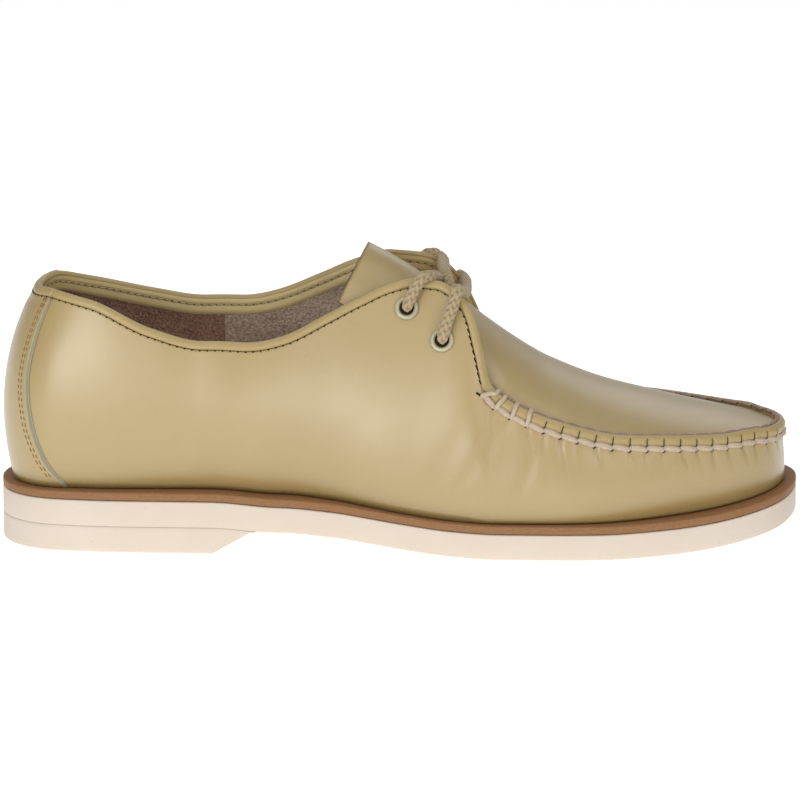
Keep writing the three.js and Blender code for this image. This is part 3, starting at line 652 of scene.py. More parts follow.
def heel_ring(inset, height):
    """A ring round the heel: the outline behind the breast, and the breast as a straight run across."""
    breast = breast_foot + heel_breast_slope * height
    reach = share_along(breast - inset)
    turns = np.linspace(turn_at(reach, "medial") - 1, turn_at(reach, "lateral"), ring_count // 2)
    x, y, nx, ny, _, _ = edge_at(turns)
    x, y = np.minimum(x + nx * inset, breast - inset), y + ny * inset
    across = np.linspace(0, 1, 24)[1:-1]
    x = np.concatenate([x, np.full(len(across), x[-1])])
    y = np.concatenate([y, y[-1] + (y[0] - y[-1]) * across])
    return np.stack([x, y, np.full(len(x), height)], axis=-1)


def make_heel_lift():
    """A block with a round lower corner. Its upper rings nearly touch the outsole, so the joint is faint."""
    corner, top = 0.9, heel_lift_height
    angles = np.linspace(0, math.pi / 2, 4)
    rings = [heel_ring(corner * (1 - math.sin(a)), corner * (1 - math.cos(a))) for a in angles]
    rings += [heel_ring(0.0, height) for height in np.linspace(corner, top + 0.05, 8)[1:]]
    rings = np.array([*rings, heel_ring(0.15, top + 0.2)])
    ceiling = outsole_bottom(rings[-1][:, 0]) - 0.06
    for ring, below in ((rings[-1], 0.0), (rings[-2], 0.15)):
        ring[:, 2] = np.minimum(ring[:, 2], ceiling - below)
    for end, ring in (("low", rings[0]), ("high", rings[-1])):
        centre = ring.mean(axis=0)
        caps = [centre + (ring - centre) * share for share in (0.001, 0.5)]
        rings = np.array([*caps, *rings]) if end == "low" else np.array([*rings, *caps[::-1]])
    faces = grid_faces(len(rings), len(rings[0]), wrap_columns=True)
    made = mesh_object("heel_block", rings.reshape(-1, 3), faces, [rubber])
    weld(made)
    return finish_piece(made, "rubber_cream", "heel_lift")


heel_block = make_heel_lift()
print("heel:", len(heel_block.data.polygons), "faces")

# %% Insole


def insole_inset(along, lateral):
    return wall_share("foot", along, lateral) * upper_inset + upper_wall + insole_side_gap


def insole_low(x):
    return midsole_top(x) + seat_gap


def insole_high(x):
    return insole_low(x) + insole_thickness


sock_rings = [(insole_inset, insole_low), (insole_inset, insole_high)]
sock = make_layer("sock_lining", sock_rings, light_suede, "lining_suede", "insole")
print("insole:", len(sock.data.polygons), "faces")

# %% [markdown]
# ## Seams
# Edge band, ridge and stitches all run beside the top line, which is steep at the throat. `beside_edge` goes
# a given distance down from the top line at right angles to it, so that a band keeps its width on the slope.
# The hand-sewn seam is divided into equal stitches by its own length.

# %% Places beside the top line
dense_arcs = np.linspace(0, outline_length, 4001)
dense_section = section_at(dense_arcs / outline_length)
dense_top = dense_section[2] + dense_section[3]
dense_slope = np.gradient(np.convolve(np.pad(dense_top, 4, "wrap"), np.ones(9) / 9, "valid"), dense_arcs)


def top_slope(arc):
    return np.interp(np.mod(arc, outline_length), dense_arcs, dense_slope)


def beside_edge(arc, distance):
    """Share of the outline and of the wall's height, at a distance at right angles below the top line."""
    slope = top_slope(arc)
    steep = np.hypot(1.0, slope)
    moved = (arc + distance * slope / steep) / outline_length
    height = np.interp(np.mod(arc, outline_length), dense_arcs, dense_top) - distance / steep
    _, _, foot_height, rise = section_at(moved)
    return moved, (height - foot_height) / rise


def seam_place(arc, distance, outward):
    turn, t = beside_edge(arc, distance)
    return wall_point(turn, t, outward)


# %% Stitch marks of the hand-sewn seam
seam_along, seam_stitch_length = 0.6105, 6.5
seam_start, seam_end = (turn_at(seam_along, side) * outline_length for side in ("lateral", "medial"))
seam_arcs = np.linspace(seam_start, seam_end, 2500)
seam_lengths = lengths_along(seam_place(seam_arcs, 2.0, 0.0))
seam_count = int(round(seam_lengths[-1] / seam_stitch_length))
seam_pitch = seam_lengths[-1] / seam_count
rng = np.random.default_rng(7)
pucker_depth = rng.uniform(0.45, 1.0, seam_count + 2)
pucker_reach = rng.uniform(2.2, 5.0, seam_count + 2)
pucker_lean = rng.uniform(-0.1, 0.45, seam_count + 2)


def seam_arc_at(stitch):
    return np.interp(stitch * seam_pitch, seam_lengths, seam_arcs)


def seam_amount(arc, behind=1.5, ahead=3.0):
    """None on the quarters, all of it a few millimetres in front of the throat."""
    lateral = smoothstep(seam_start - behind, seam_start + ahead, arc)
    return lateral * smoothstep(seam_end + behind, seam_end - ahead, arc)


def seam_relief(arc, distance):
    """Pull of the stitches: how much the leather is drawn in, and how much painted shade its pinches and
    furrows get.
    """
    phase = np.interp(arc, seam_arcs, seam_lengths) / seam_pitch
    nearest = np.clip(np.round(phase).astype(int), 0, seam_count)
    amount = seam_amount(arc)
    below = np.clip(distance - ridge_foot, 0, None)
    side = np.where(arc < outline_length / 2, 1.0, -1.0)
    offset = (phase - nearest) * seam_pitch - side * pucker_lean[nearest] * below
    pinch = np.exp(-((offset / 0.45) ** 2)) * smoothstep(0.0, 1.5, distance) * (below == 0)
    ends = smoothstep(0.5, 5.0, phase) * smoothstep(seam_count - 0.5, seam_count - 5.0, phase)
    fade = np.exp(-below / pucker_reach[nearest]) * (below > 0) * (0.25 + 0.75 * ends)
    furrow = np.exp(-((offset / (0.5 + 0.13 * below)) ** 2)) * fade * pucker_depth[nearest]
    swell = np.cos(2 * math.pi * (phase - 0.5)) * 0.5 + 0.5
    drawn = -0.6 * pinch - 1.15 * furrow + 0.25 * swell * fade + 0.1 * swell * (below == 0) * (distance > 0.5)
    return drawn * amount, np.clip(0.85 * pinch + 0.65 * furrow, 0, 1) * amount


print("seam:", seam_count, "stitches of", round(seam_pitch, 2), "mm")

# %% [markdown]
# ## Upper
# The side piece is one wall all round the shoe. Its rows climb the outer face, pass the edge band, roll over
# the rim and go down inside. Its columns follow the edge of the back strip near the heel, so that the strip's
# step stays crisp. Main creases are placed as soft troughs.

# %% Upper wall
strip_base, strip_blend_length = 24.0, 62.0
light_suede_from, smooth_lining_from = 0.283, 0.415


def warped_arc(arc, t):
    """Moves columns near the heel so that one of them runs along the back strip's edge."""
    distance = np.minimum(arc, outline_length - arc)
    sign = np.where(arc <= outline_length / 2, 1.0, -1.0)
    edge = strip_edge(t)
    inner = distance / strip_base * edge
    share = (distance - strip_base) / (strip_blend_length - strip_base)
    outer = edge + share * (strip_blend_length - edge)
    moved = np.where(distance < strip_base, inner, np.where(distance < strip_blend_length, outer, distance))
    return sign * moved + np.where(sign < 0, outline_length, 0.0)


def column_arcs(count=900):
    """Places of the columns, closer together at the throat's steep edge and along the hand-sewn seam."""
    along = edge_at(dense_arcs / outline_length)[4]
    throat = smoothstep(0.552, 0.566, along) * smoothstep(0.628, 0.614, along)
    seam = smoothstep(0.59, 0.62, along)
    density = 0.75 + 2.1 * throat + 1.0 * seam
    total = np.concatenate([[0.0], np.cumsum((density[1:] + density[:-1]) / 2)])
    regular = np.interp(np.arange(count) / count * total[-1], total, dense_arcs)
    step = np.array([-1.8, -1.3, -0.95, -0.7, -0.45, -0.2, -0.05, 0.15, 0.35, 0.55, 0.75, 1.1])
    edges = np.concatenate([strip_base + step, outline_length - strip_base - step])
    near = np.min(np.abs(regular[:, None] - edges[None, :]), axis=1) < 0.35
    return np.sort(np.concatenate([regular[~near], edges]))


arcs = column_arcs()
outer_shares = np.linspace(0, 1, 41)[:-1] ** 0.9
band_steps = np.array([2.2, 1.9, 1.65, 1.45, 1.28, 1.14, 1.06, 1.0, 0.94, 0.84, 0.7, 0.54, 0.38, 0.24])
rim_angles = np.linspace(0, math.pi, 9)
inner_bands = np.array([0.25, 0.5, 0.75, 0.9, 1.0, 1.1, 1.4, 1.9, 2.5, 2.58, 2.65])
inner_shares = np.linspace(1, 0, 12)[1:]
crease_field = 0.7 * upper_height
hand_creases = table(
    "along height length width depth lean",
    (0.55, 0.3, 26, 7, 0.22, 0.5), (0.6, 0.42, 22, 5, 0.22, 0.7), (0.66, 0.35, 16, 4, 0.22, 0.3),
    (0.42, 0.5, 34, 12, 0.1, -0.2), (0.3, 0.42, 30, 12, 0.08, 0.1), (0.74, 0.5, 12, 4, 0.2, 0.1),
    (0.82, 0.45, 11, 4, 0.2, -0.1), (0.9, 0.45, 10, 4, 0.18, 0.2), (0.48, 0.68, 28, 10, 0.12, 0.9),
)


def crease_depth(x, height):
    """Soft troughs and ridges across the leather, each a stretched bump about its own centre."""
    depth = np.zeros_like(x)
    for row in hand_creases:
        middle = station_x(row["along"])
        dz = height - midsole_top(middle) - row["height"] * crease_field
        across = (x - middle - row["lean"] * dz) / row["width"]
        depth += row["depth"] * np.exp(-(across**2) - (dz / row["length"]) ** 2) * np.cos(1.6 * across)
    return depth


def make_upper():
    ridge = seam_amount(arcs, 3.0, 4.0)
    height = binding_foot + (ridge_foot - binding_foot) * ridge
    swell = binding_rise + (ridge_rise - binding_rise) * ridge
    distance = np.minimum(arcs, outline_length - arcs)
    strip = smoothstep(strip_base, strip_base - 0.9, distance) * back_strip_rise
    over_strip = smoothstep(strip_base + 3, strip_base - 4, distance)
    slim, lift = 1 - 0.6 * over_strip, strip * 0.8
    turn = arcs / outline_length
    lowest = beside_edge(arcs, band_steps[0] * height)
    inner_lowest = beside_edge(arcs, inner_bands[-1] * height)
    turns, shares, outs, parts, depths = [], [], [], [], []

    def on_the_way(lowest_row, share):
        """Places at a share of the way from the foot up to the lowest row beside the rim."""
        return turn + (lowest_row[0] - turn) * smoothstep(0, 1, share), lowest_row[1] * share

    def add(place, outward, part, below):
        turns.append(place[0] + 0 * arcs)
        shares.append(place[1] + 0 * arcs)
        outs.append(outward + 0 * arcs)
        depths.append(below + 0 * arcs)
        parts.append(part)

    inside = -9.0
    for share in outer_shares:
        place = on_the_way(lowest, share)
        further = (lowest[1] - place[1]) * section_at(place[0])[3] / np.hypot(1, top_slope(arcs))
        add(place, strip, 0, band_steps[0] * height + further)
    for q in band_steps:
        profile = np.sqrt(np.clip(1 - np.clip(1 - 2.4 * (1 - q), 0, 1) ** 2, 0, 1)) if q < 1 else 0.0
        sunk = -0.25 * math.exp(-(((q - 1.06) / 0.07) ** 2))
        top_slim = 1 - 0.35 * smoothstep(0.35, 0.0, q)
        band = swell * profile * top_slim * slim
        add(beside_edge(arcs, q * height), band + sunk + lift, int(q <= 1.0), q * height)
    rim_out = swell * 0.65 * slim + lift
    middle, half = (rim_out - upper_wall) / 2, (rim_out + upper_wall) / 2
    for angle in rim_angles:
        below = rim_drop - math.sin(angle)
        add(beside_edge(arcs, below), middle + half * math.cos(angle), 1, below)
    for q in inner_bands:
        thick = 0.35 * smoothstep(1.1, 0.85, q) * smoothstep(0.2, 0.6, q)
        thick = thick + 0.5 * smoothstep(2.62, 2.5, q) * smoothstep(1.2, 1.6, q) * (1 - ridge)
        add(beside_edge(arcs, q * height), -upper_wall - thick, 2 if q < 2.6 else 3, inside)
    for share in inner_shares:
        add(on_the_way(inner_lowest, share), -upper_wall, 3, inside)
    turns, t, outs, depths = (np.array(values) for values in (turns, shares, outs, depths))
    outer = np.array(parts)[:, None] + 0 * turns < 2
    bent = warped_arc(np.mod(turns, 1.0) * outline_length, np.clip(t, 0, 1)) / outline_length
    # The second value is painted shade in the seam's pinches and furrows.
    drawn, crease_shade = seam_relief(arcs[None, :], depths)
    x, _, z = np.moveaxis(wall_point(bent, t, outs), -1, 0)
    folds = crease_depth(x, z) * smoothstep(1.0, 8.0, depths) * smoothstep(0, 0.12, t)
    points = wall_point(bent, t, outs + np.where(outer, drawn - folds, 0.0))
    # Painted shade: a dark line in the groove under the band, darker leather at the wall's foot and a dark line
    # beside the back strip's step.
    groove_shade = np.exp(-(((depths / height[None, :] - 1.06) / 0.05) ** 2)) * (depths > 0) * outer
    # Painted shade at the foot of the wall, where it meets the sole.
    foot = smoothstep(0.05, 0.0, t) * 0.6
    beside_strip, under_binding = distance - strip_base, depths > binding_foot + 0.3
    cut = smoothstep(0.5, 0.3, np.abs(beside_strip + 0.5)) * under_binding
    strip_step_shade = smoothstep(0.5, 0.25, np.abs(beside_strip - 0.35)) * under_binding
    shade = np.clip(np.where(outer, crease_shade + 0.55 * groove_shade + foot + strip_step_shade, 0.0), 0, 1)
    faces = grid_faces(len(t), len(arcs), wrap_rows=True, wrap_columns=True)
    along = edge_at(turn)[4]
    lining = np.where(along > smooth_lining_from, 5, np.where(along > light_suede_from, 4, 3))
    part_of = np.array(parts)[:, None] + 0 * lining
    part_of = np.where(part_of == 3, lining, part_of)
    finishes = (leather, binding_leather, band_leather, dark_suede, light_suede, smooth_lining)
    painted = {"crease_shade": shade, "cut": cut * outer}
    return mesh_object("quarters_and_vamp", points.reshape(-1, 3), faces, finishes, part_of.ravel(), painted)


upper = make_upper()
finish_piece(upper, "leather_olive", "upper")
print("upper:", len(upper.data.polygons), "faces")

# %% [markdown]
# ## Apron and tongue
# The apron is one piece of leather that runs from the toe, under the quarters' front edges, up to the
# tongue's tip. Its rows are arches between two edges, as in the solid.

# %% Apron and tongue
crest_height = curve_through(apron_crest, "height")
apron_stations, first_station, tip_along = 17, 0.35, 0.9999
bend_at_toe, bend_at_throat, tongue_bend, tongue_twist = 0.6, 1.2, 1.25, 3.4


def apron_rows():
    """For each arch its two edges, its crest and its bend, from the toe back to the tongue's tip."""
    rows = []
    tip, start = turn_at(tip_along, "lateral"), turn_at(throat_along + apron_start, "lateral")
    for i in range(apron_stations):
        part = (i + first_station) / (apron_stations - 1 + first_station)
        lateral_turn = tip + (start - tip) * part
        medial_turn = turn_at(min(float(edge_at(lateral_turn)[4]), tip_along), "medial")
        edges = []
        for u in (lateral_turn, medial_turn):
            down = 0.25 * ridge_height / section_at(u)[3]
            edges.append(wall_point(u, 1 - down, -upper_wall - seat_gap))
        crest = (edges[0] + edges[1]) / 2
        share, lowest = share_along(crest[0]), crest[2] + seat_gap
        settled = smoothstep(0.7, 0.78, share) * smoothstep(0.93, 0.85, share)
        crest[2] = max(midsole_top(crest[0]) + crest_height(share) * upper_height - settled, lowest)
        rows.append([*edges, crest, bend_at_toe + (bend_at_throat - bend_at_toe) * part])
    for section in tongue_sections:
        x = station_x(section["along"])
        crest = np.array([x, 0, midsole_top(x) + section["height"] * upper_height])
        drop, half = section["drop"] * tongue_drop, section["half"] * tongue_width
        back = x - section["lean"] * drop
        edges = [np.array([back, side * half, crest[2] - drop]) for side in (-1, 1)]
        edges[1][0] += tongue_twist * smoothstep(0.55, 0.46, section["along"])
        rows.append([*edges, crest, tongue_bend])
    return rows


def arch_grid(rows, across_count):
    """Points of all arches, made smooth along the shoe by a spline through the rows' edges and crests."""
    steps = 8
    lateral, medial, crest = (spline([row[k] for row in rows], steps) for k in range(3))
    places = np.arange(len(lateral)) / steps
    bend = np.interp(places, np.arange(len(rows)), [row[3] for row in rows])[:, None]
    w = np.linspace(-1, 1, across_count)[None, :]
    across = ((1 + np.sin(w * bend) / np.sin(bend)) / 2)[..., None]
    lift = ((np.cos(w * bend) - np.cos(bend)) / (1 - np.cos(bend)))[..., None]
    middle = (lateral + medial) / 2
    chord = lateral[:, None] * (1 - across) + medial[:, None] * across
    return chord + (crest - middle)[:, None] * lift


def surface_normals(grid):
    along, across = np.gradient(grid, axis=0), np.gradient(grid, axis=1)
    normal = np.cross(across, along)
    return normal / np.maximum(np.linalg.norm(normal, axis=-1, keepdims=True), 1e-9)


def shell_faces(rows, columns):
    """Faces of a thin shell: an upper grid, a lower grid and the four edges between them."""
    count = rows * columns
    top = [face[::-1] for face in grid_faces(rows, columns)]
    under = grid_faces(rows, columns, start=count)
    rim = [*range(columns), *range(2 * columns - 1, count, columns)]
    rim += [*range(count - 2, count - columns - 1, -1), *range(count - 2 * columns, 0, -columns)]
    sides = []
    for i, here in enumerate(rim):
        there = rim[(i + 1) % len(rim)]
        sides.append([here, there, there + count, here + count])
    return top, under, sides


def make_apron():
    grid = arch_grid(apron_rows(), 97)
    under = grid - surface_normals(grid) * apron_thickness
    top, below, sides = shell_faces(*grid.shape[:2])
    part_of = [0] * len(top) + [1] * len(below) + [2] * len(sides)
    points = np.concatenate([grid.reshape(-1, 3), under.reshape(-1, 3)])
    finishes = (leather, light_suede, raw_edge)
    return mesh_object("apron_and_tongue", points, top + below + sides, finishes, part_of)


apron = make_apron()
finish_piece(apron, "leather_apron", "apron_tongue")
print("apron and tongue:", len(apron.data.polygons), "faces")

# %% [markdown]
# ## Stitches
# A stitch is a short bowed thread. A Geometry Nodes tree puts one on each point of a row and turns it by the
# point's own vectors: `run` along the seam and `out` away from the leather. The rows are then made real and
# joined to plain meshes.

# %% Stitch rows


def make_thread_mesh(name, power):
    """A thread of unit length along X whose ends dive into the leather. A low power gives a spindle."""
    rings, sides = 11, 8
    places = np.linspace(-0.5, 0.5, rings)
    grid = []
    for place in places:
        ease = math.sqrt(max(1 - abs(2 * place) ** power, 0.0))
        for k in range(sides):
            angle = 2 * math.pi * k / sides
            radius = 0.5 * (0.45 + 0.55 * ease)
            grid.append((place, radius * math.cos(angle), radius * math.sin(angle) + 0.45 * ease - 0.35))
    faces = grid_faces(rings, sides, wrap_columns=True)
    faces += [list(range(sides))[::-1], list(range((rings - 1) * sides, rings * sides))]
    mesh = bpy.data.meshes.new(name)
    mesh.from_pydata(grid, [], faces)
    mesh.shade_smooth()
    return new_object(name, mesh)


def make_stitch_tree():
    tree = bpy.data.node_groups.new("stitch_row", "GeometryNodeTree")
    for name, kind in (("Points", "Geometry"), ("Thread", "Object"), ("Finish", "Material")):
        tree.interface.new_socket(name, in_out="INPUT", socket_type=f"NodeSocket{kind}")
    tree.interface.new_socket("Row", in_out="OUTPUT", socket_type="NodeSocketGeometry")

    def node(kind, **settings):
        made = tree.nodes.new(kind)
        for key, value in settings.items():
            setattr(made, key, value)
        return made

    def attribute(name):
        made = node("GeometryNodeInputNamedAttribute", data_type="FLOAT_VECTOR")
        made.inputs["Name"].default_value = name
        return made

    given, result = node("NodeGroupInput"), node("NodeGroupOutput")
    thread = node("GeometryNodeObjectInfo", transform_space="ORIGINAL")
    run_turn = node("FunctionNodeAlignRotationToVector", axis="X")
    out_turn = node("FunctionNodeAlignRotationToVector", axis="Z", pivot_axis="X")
    place, real = node("GeometryNodeInstanceOnPoints"), node("GeometryNodeRealizeInstances")
    dress = node("GeometryNodeSetMaterial")
    for source, output, target, entry in (
        (given, "Thread", thread, "Object"), (attribute("run"), "Attribute", run_turn, "Vector"),
        (run_turn, "Rotation", out_turn, "Rotation"), (attribute("out"), "Attribute", out_turn, "Vector"),
        (given, "Points", place, "Points"), (thread, "Geometry", place, "Instance"),
        (out_turn, "Rotation", place, "Rotation"), (attribute("size"), "Attribute", place, "Scale"),
        (place, "Instances", real, "Geometry"), (real, "Geometry", dress, "Geometry"),
        (given, "Finish", dress, "Material"), (dress, "Geometry", result, "Row"),
    ):
        tree.links.new(source.outputs[output], target.inputs[entry])
    return tree


thread_unit, spindle_unit = make_thread_mesh("thread_unit", 4), make_thread_mesh("spindle_unit", 1.7)
stitch_tree = make_stitch_tree()


def stitch_row(name, starts, ends, outs, thickness, finish, unit=None):
    """One thread from each start to its end, in millimetres, bowed along its own way out."""
    starts, ends, outs = (np.asarray(v, float) for v in (starts, ends, outs))
    run = ends - starts
    reach = np.linalg.norm(run, axis=1)
    mesh = bpy.data.meshes.new(name)
    mesh.from_pydata(((starts + ends) / 2 * MM).tolist(), [], [])
    size = np.stack([reach, 0 * reach + thickness, 0 * reach + thickness], axis=-1) * MM
    for key, values in (("run", run), ("out", outs), ("size", size)):
        layer = mesh.attributes.new(key, "FLOAT_VECTOR", "POINT")
        layer.data.foreach_set("vector", values.astype(np.float32).ravel())
    points = new_object(name + "_points", mesh)
    modifier = points.modifiers.new("stitches", "NODES")
    modifier.node_group = stitch_tree
    sockets = stitch_tree.interface.items_tree
    inputs = {item.name: item.identifier for item in sockets if item.in_out == "INPUT"}
    modifier[inputs["Thread"]] = unit or thread_unit
    modifier[inputs["Finish"]] = finish
    ready = points.evaluated_get(bpy.context.evaluated_depsgraph_get())
    made = new_object(name, bpy.data.meshes.new_from_object(ready))
    made.data.name = name
    bpy.data.objects.remove(points)
    made.data.shade_smooth()
    pieces[name] = made
    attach(made, "root")
    return made


def wall_row(arcs_at, distance, outward):
    """Points of a seam on the upper and the directions out of its leather there."""
    arcs_at = np.asarray(arcs_at, float)
    place = seam_place(arcs_at, distance, outward)
    return place, seam_place(arcs_at, distance, outward + 1.0) - place


def equal_arcs(first, last, pitch, distance):
    """Places on the outline between two others, at equal steps of the seam itself."""
    fine = np.linspace(first, last, 3000)
    lengths = lengths_along(seam_place(fine, distance, 0.0))
    count = int(lengths[-1] / pitch)
    return np.interp(np.arange(count) * pitch + pitch / 2, lengths, fine)


# %% Edge stitching
collar_along, edge_pitch = 0.608, 2.85
collar_first = (turn_at(collar_along, "medial") - 1) * outline_length
collar_last = turn_at(collar_along, "lateral") * outline_length


def running_stitches(name, line, distances, outward, fill, thickness, finish, facing=1):
    """Stitches one after the other along a seam, each from one distance below the top line to another."""
    half = fill / 2 * np.gradient(line)
    starts, ends = (seam_place(line + s * half, d, outward) for s, d in zip((-1, 1), distances))
    outs = wall_row(line, distances[0], outward)[1] * facing
    stitch_row(name, starts, ends, outs, thickness, finish)


def hole_row(name, line, reach, distances, outward, thickness, finish, facing=1):
    """Needle holes half way between the stitches of a seam: short dark slits of painted shade."""
    gaps = line + np.gradient(line) / 2
    starts, ends = (seam_place(gaps + s * reach, d, outward) for s, d in zip((-1, 1), distances))
    outs = wall_row(gaps, sum(distances) / 2, outward)[1] * facing
    stitch_row(name, starts, ends, outs, thickness, finish)


edge_line = equal_arcs(collar_first, collar_last, edge_pitch, 2.8)
near_strip = np.minimum(np.abs(edge_line), np.abs(edge_line - outline_length)) < 33
outer_face = np.where(near_strip, 0.8 * back_strip_rise, 0.0) - 0.12
running_stitches("edge_thread", edge_line, (2.85, 2.85), outer_face, 1.0, 0.26, olive_thread)
hole_row("edge_holes", edge_line, 0.3, (3.25, 2.75), outer_face, 0.6, painted_hole_shade)
inside_line = equal_arcs(collar_first, collar_last, edge_pitch, 3.0)
inner_face = -upper_wall - 0.15
running_stitches("inside_thread", inside_line, (2.6, 3.2), inner_face, 0.85, 0.7, pale_olive_thread, -1)
# The inside holes are painted shade in the olive thread's colour.
hole_row("inside_holes", inside_line, 0.4, (2.8, 3.2), inner_face, 0.45, olive_thread, -1)
print("edge stitches:", len(edge_line), "outside and", len(inside_line), "inside")

# %% Back strip stitching


strip_stitch, strip_pitch = 1.55, 2.3


def strip_rows():
    """Two rows of stitches beside each edge of the back strip, up to its binding."""
    starts, ends, outs = [], [], []
    rise = section_at(0.0)[3]
    low = np.arange(4.0, 78.0, strip_pitch)
    low = low[(low + strip_stitch / 2) / rise < 0.955]
    for sign, behind in ((1, 3.0), (1, 4.6), (-1, 3.0), (-1, 4.6)):

        def place(height, above, sign=sign, behind=behind):
            arc = sign * (strip_edge(height / rise) - behind)
            return wall_point(arc / outline_length, height / rise, back_strip_rise + above)

        starts.append(place(low, 0.02))
        ends.append(place(low + strip_stitch, 0.02))
        outs.append(place(low + strip_stitch / 2, 1.0) - starts[-1])
    rows = (np.concatenate(part) for part in (starts, ends, outs))
    stitch_row("strip_thread", *rows, 0.38, red_brown_thread)


strip_rows()

# %% Hand-sewn seam


def chain_row():
    """Thick pale thread below the ridge: a spindle for each stitch, with needle holes of painted shade below
    the joints.
    """
    numbers = np.arange(0, seam_count)
    first, last = seam_arc_at(numbers - 0.06), seam_arc_at(numbers + 1.08)
    starts = seam_place(first, ridge_foot + 0.3, 0.5)
    ends = seam_place(last, ridge_foot + 1.15, 0.35)
    outs = wall_row(seam_arc_at(numbers + 0.5), ridge_foot + 0.7, 0.2)[1]
    stitch_row("chain_thread", starts, ends, outs, 2.5, pale_thread, spindle_unit)
    knots = seam_arc_at(numbers)
    low = seam_place(knots - 0.5, ridge_foot + 2.15, -0.1)
    high = seam_place(knots + 0.3, ridge_foot + 1.1, 0.1)
    stitch_row("chain_holes", low, high, wall_row(knots, ridge_foot + 1.6, 0.0)[1], 0.85, painted_hole_shade)


def cross_row():
    """Thin dark thread in each pinch of the ridge, from the chain row over the top."""
    knots = seam_arc_at(np.arange(4, seam_count - 3))
    starts = seam_place(knots, 0.35, ridge_rise - 0.5)
    ends = seam_place(knots - 0.2, ridge_foot + 0.1, ridge_rise - 0.55)
    stitch_row("cross_thread", starts, ends, wall_row(knots, 2.0, 0.0)[1], 0.4, slit_thread)


def inner_row():
    """Thread along the top of the ridge, where the apron meets it."""
    numbers = np.arange(0, seam_count)
    first, last = seam_arc_at(numbers - 0.03), seam_arc_at(numbers + 1.03)
    starts, ends = seam_place(first, -0.4, -2.1), seam_place(last, -0.6, -1.6)
    middle = seam_arc_at(numbers + 0.5)
    outs = seam_place(middle, -1.5, -2.5) - seam_place(middle, -0.35, -1.9)
    stitch_row("inner_thread", starts, ends, outs, 1.5, mauve_thread, spindle_unit)
    # The holes beside the inner thread are short slits of painted shade.
    gaps = seam_arc_at(numbers)
    starts, ends = seam_place(gaps - 0.3, -0.55, -0.9), seam_place(gaps + 0.3, -0.1, -2.5)
    outs = seam_place(gaps, -1.5, -2.5) - seam_place(gaps, -0.35, -1.9)
    stitch_row("inner_holes", starts, ends, outs, 0.55, slit_thread)


chain_row()
cross_row()
inner_row()


# %% Wrapped threads at the throat
def thread_tube(points, thickness, sides=10):
    line = spline(points, 10)
    tangent = np.gradient(line, axis=0)
    tangent /= np.linalg.norm(tangent, axis=1)[:, None]
    side = np.cross(tangent, np.roll(tangent, 1, axis=1) + (0.3, 0.1, 0.9))
    side /= np.linalg.norm(side, axis=1)[:, None]
    up = np.cross(tangent, side)
    angle = np.linspace(0, 2 * math.pi, sides, endpoint=False)
    ring = np.cos(angle)[None, :, None] * side[:, None] + np.sin(angle)[None, :, None] * up[:, None]
    return line[:, None] + ring * thickness / 2


wrap_shapes = table("stitch top_shift", (0.1, 0.45), (1.05, 0.08), (2.05, -0.05), (3.0, -0.1))


def wrap_threads():
    """The thread goes several times over the ridge at each end of the seam, from the chain to its top."""
    points, faces = [], []
    for sign, origin in ((1, 0), (-1, seam_count)):
        for row in wrap_shapes:
            low = seam_arc_at(origin + sign * row["stitch"])
            high = seam_arc_at(origin + sign * (row["stitch"] + row["top_shift"]))
            route = (
                (low, ridge_foot + 1.3, -0.5), (low, ridge_foot + 0.6, 0.85),
                ((low + high) / 2, ridge_foot * 0.5, ridge_rise + 0.55), (high, 0.5, ridge_rise + 0.25),
                (high, -0.9, -0.3), (high, -0.5, -1.9), (high, 1.2, -upper_wall - 0.8),
            )
            grid = thread_tube([seam_place(*place) for place in route], 1.75)
            start = sum(len(tube) for tube in points)
            faces += grid_faces(*grid.shape[:2], wrap_columns=True, start=start)
            points.append(grid.reshape(-1, 3))
    made = mesh_object("wrap_threads", np.concatenate(points), faces, [pale_thread])
    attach(made, "root")


wrap_threads()
for unit in (thread_unit, spindle_unit):
    bpy.data.objects.remove(unit)
print("seam threads:", [name for name in pieces if "thread" in name])

# %% [markdown]
# ## Eyelets and lace
# An eyelet is a turned ring, so a small profile is spun about its axis. The leather has no hole under it,
# and a dark disc of painted shade shows one. The lace is a braided cord: a tube whose surface carries the
# braid as real relief, run through the eyelets along a given route.

# %% Eyelets


def eyelet_seat(place, side):
    u = turn_at(place["along"], side)
    centre = wall_point(u, place["height"], 0.0)
    forward = wall_point(u + 0.5 / outline_length, place["height"], 0.0) - centre
    upward = wall_point(u, place["height"] + 0.5 / upper_height, 0.0) - centre
    facing = np.cross(forward, upward)
    return centre, facing / np.linalg.norm(facing)


eyelet_seats = {
    f"{side}_{place['name']}": eyelet_seat(place, side)
    for side in ("lateral", "medial")
    for place in eyelet_places
}


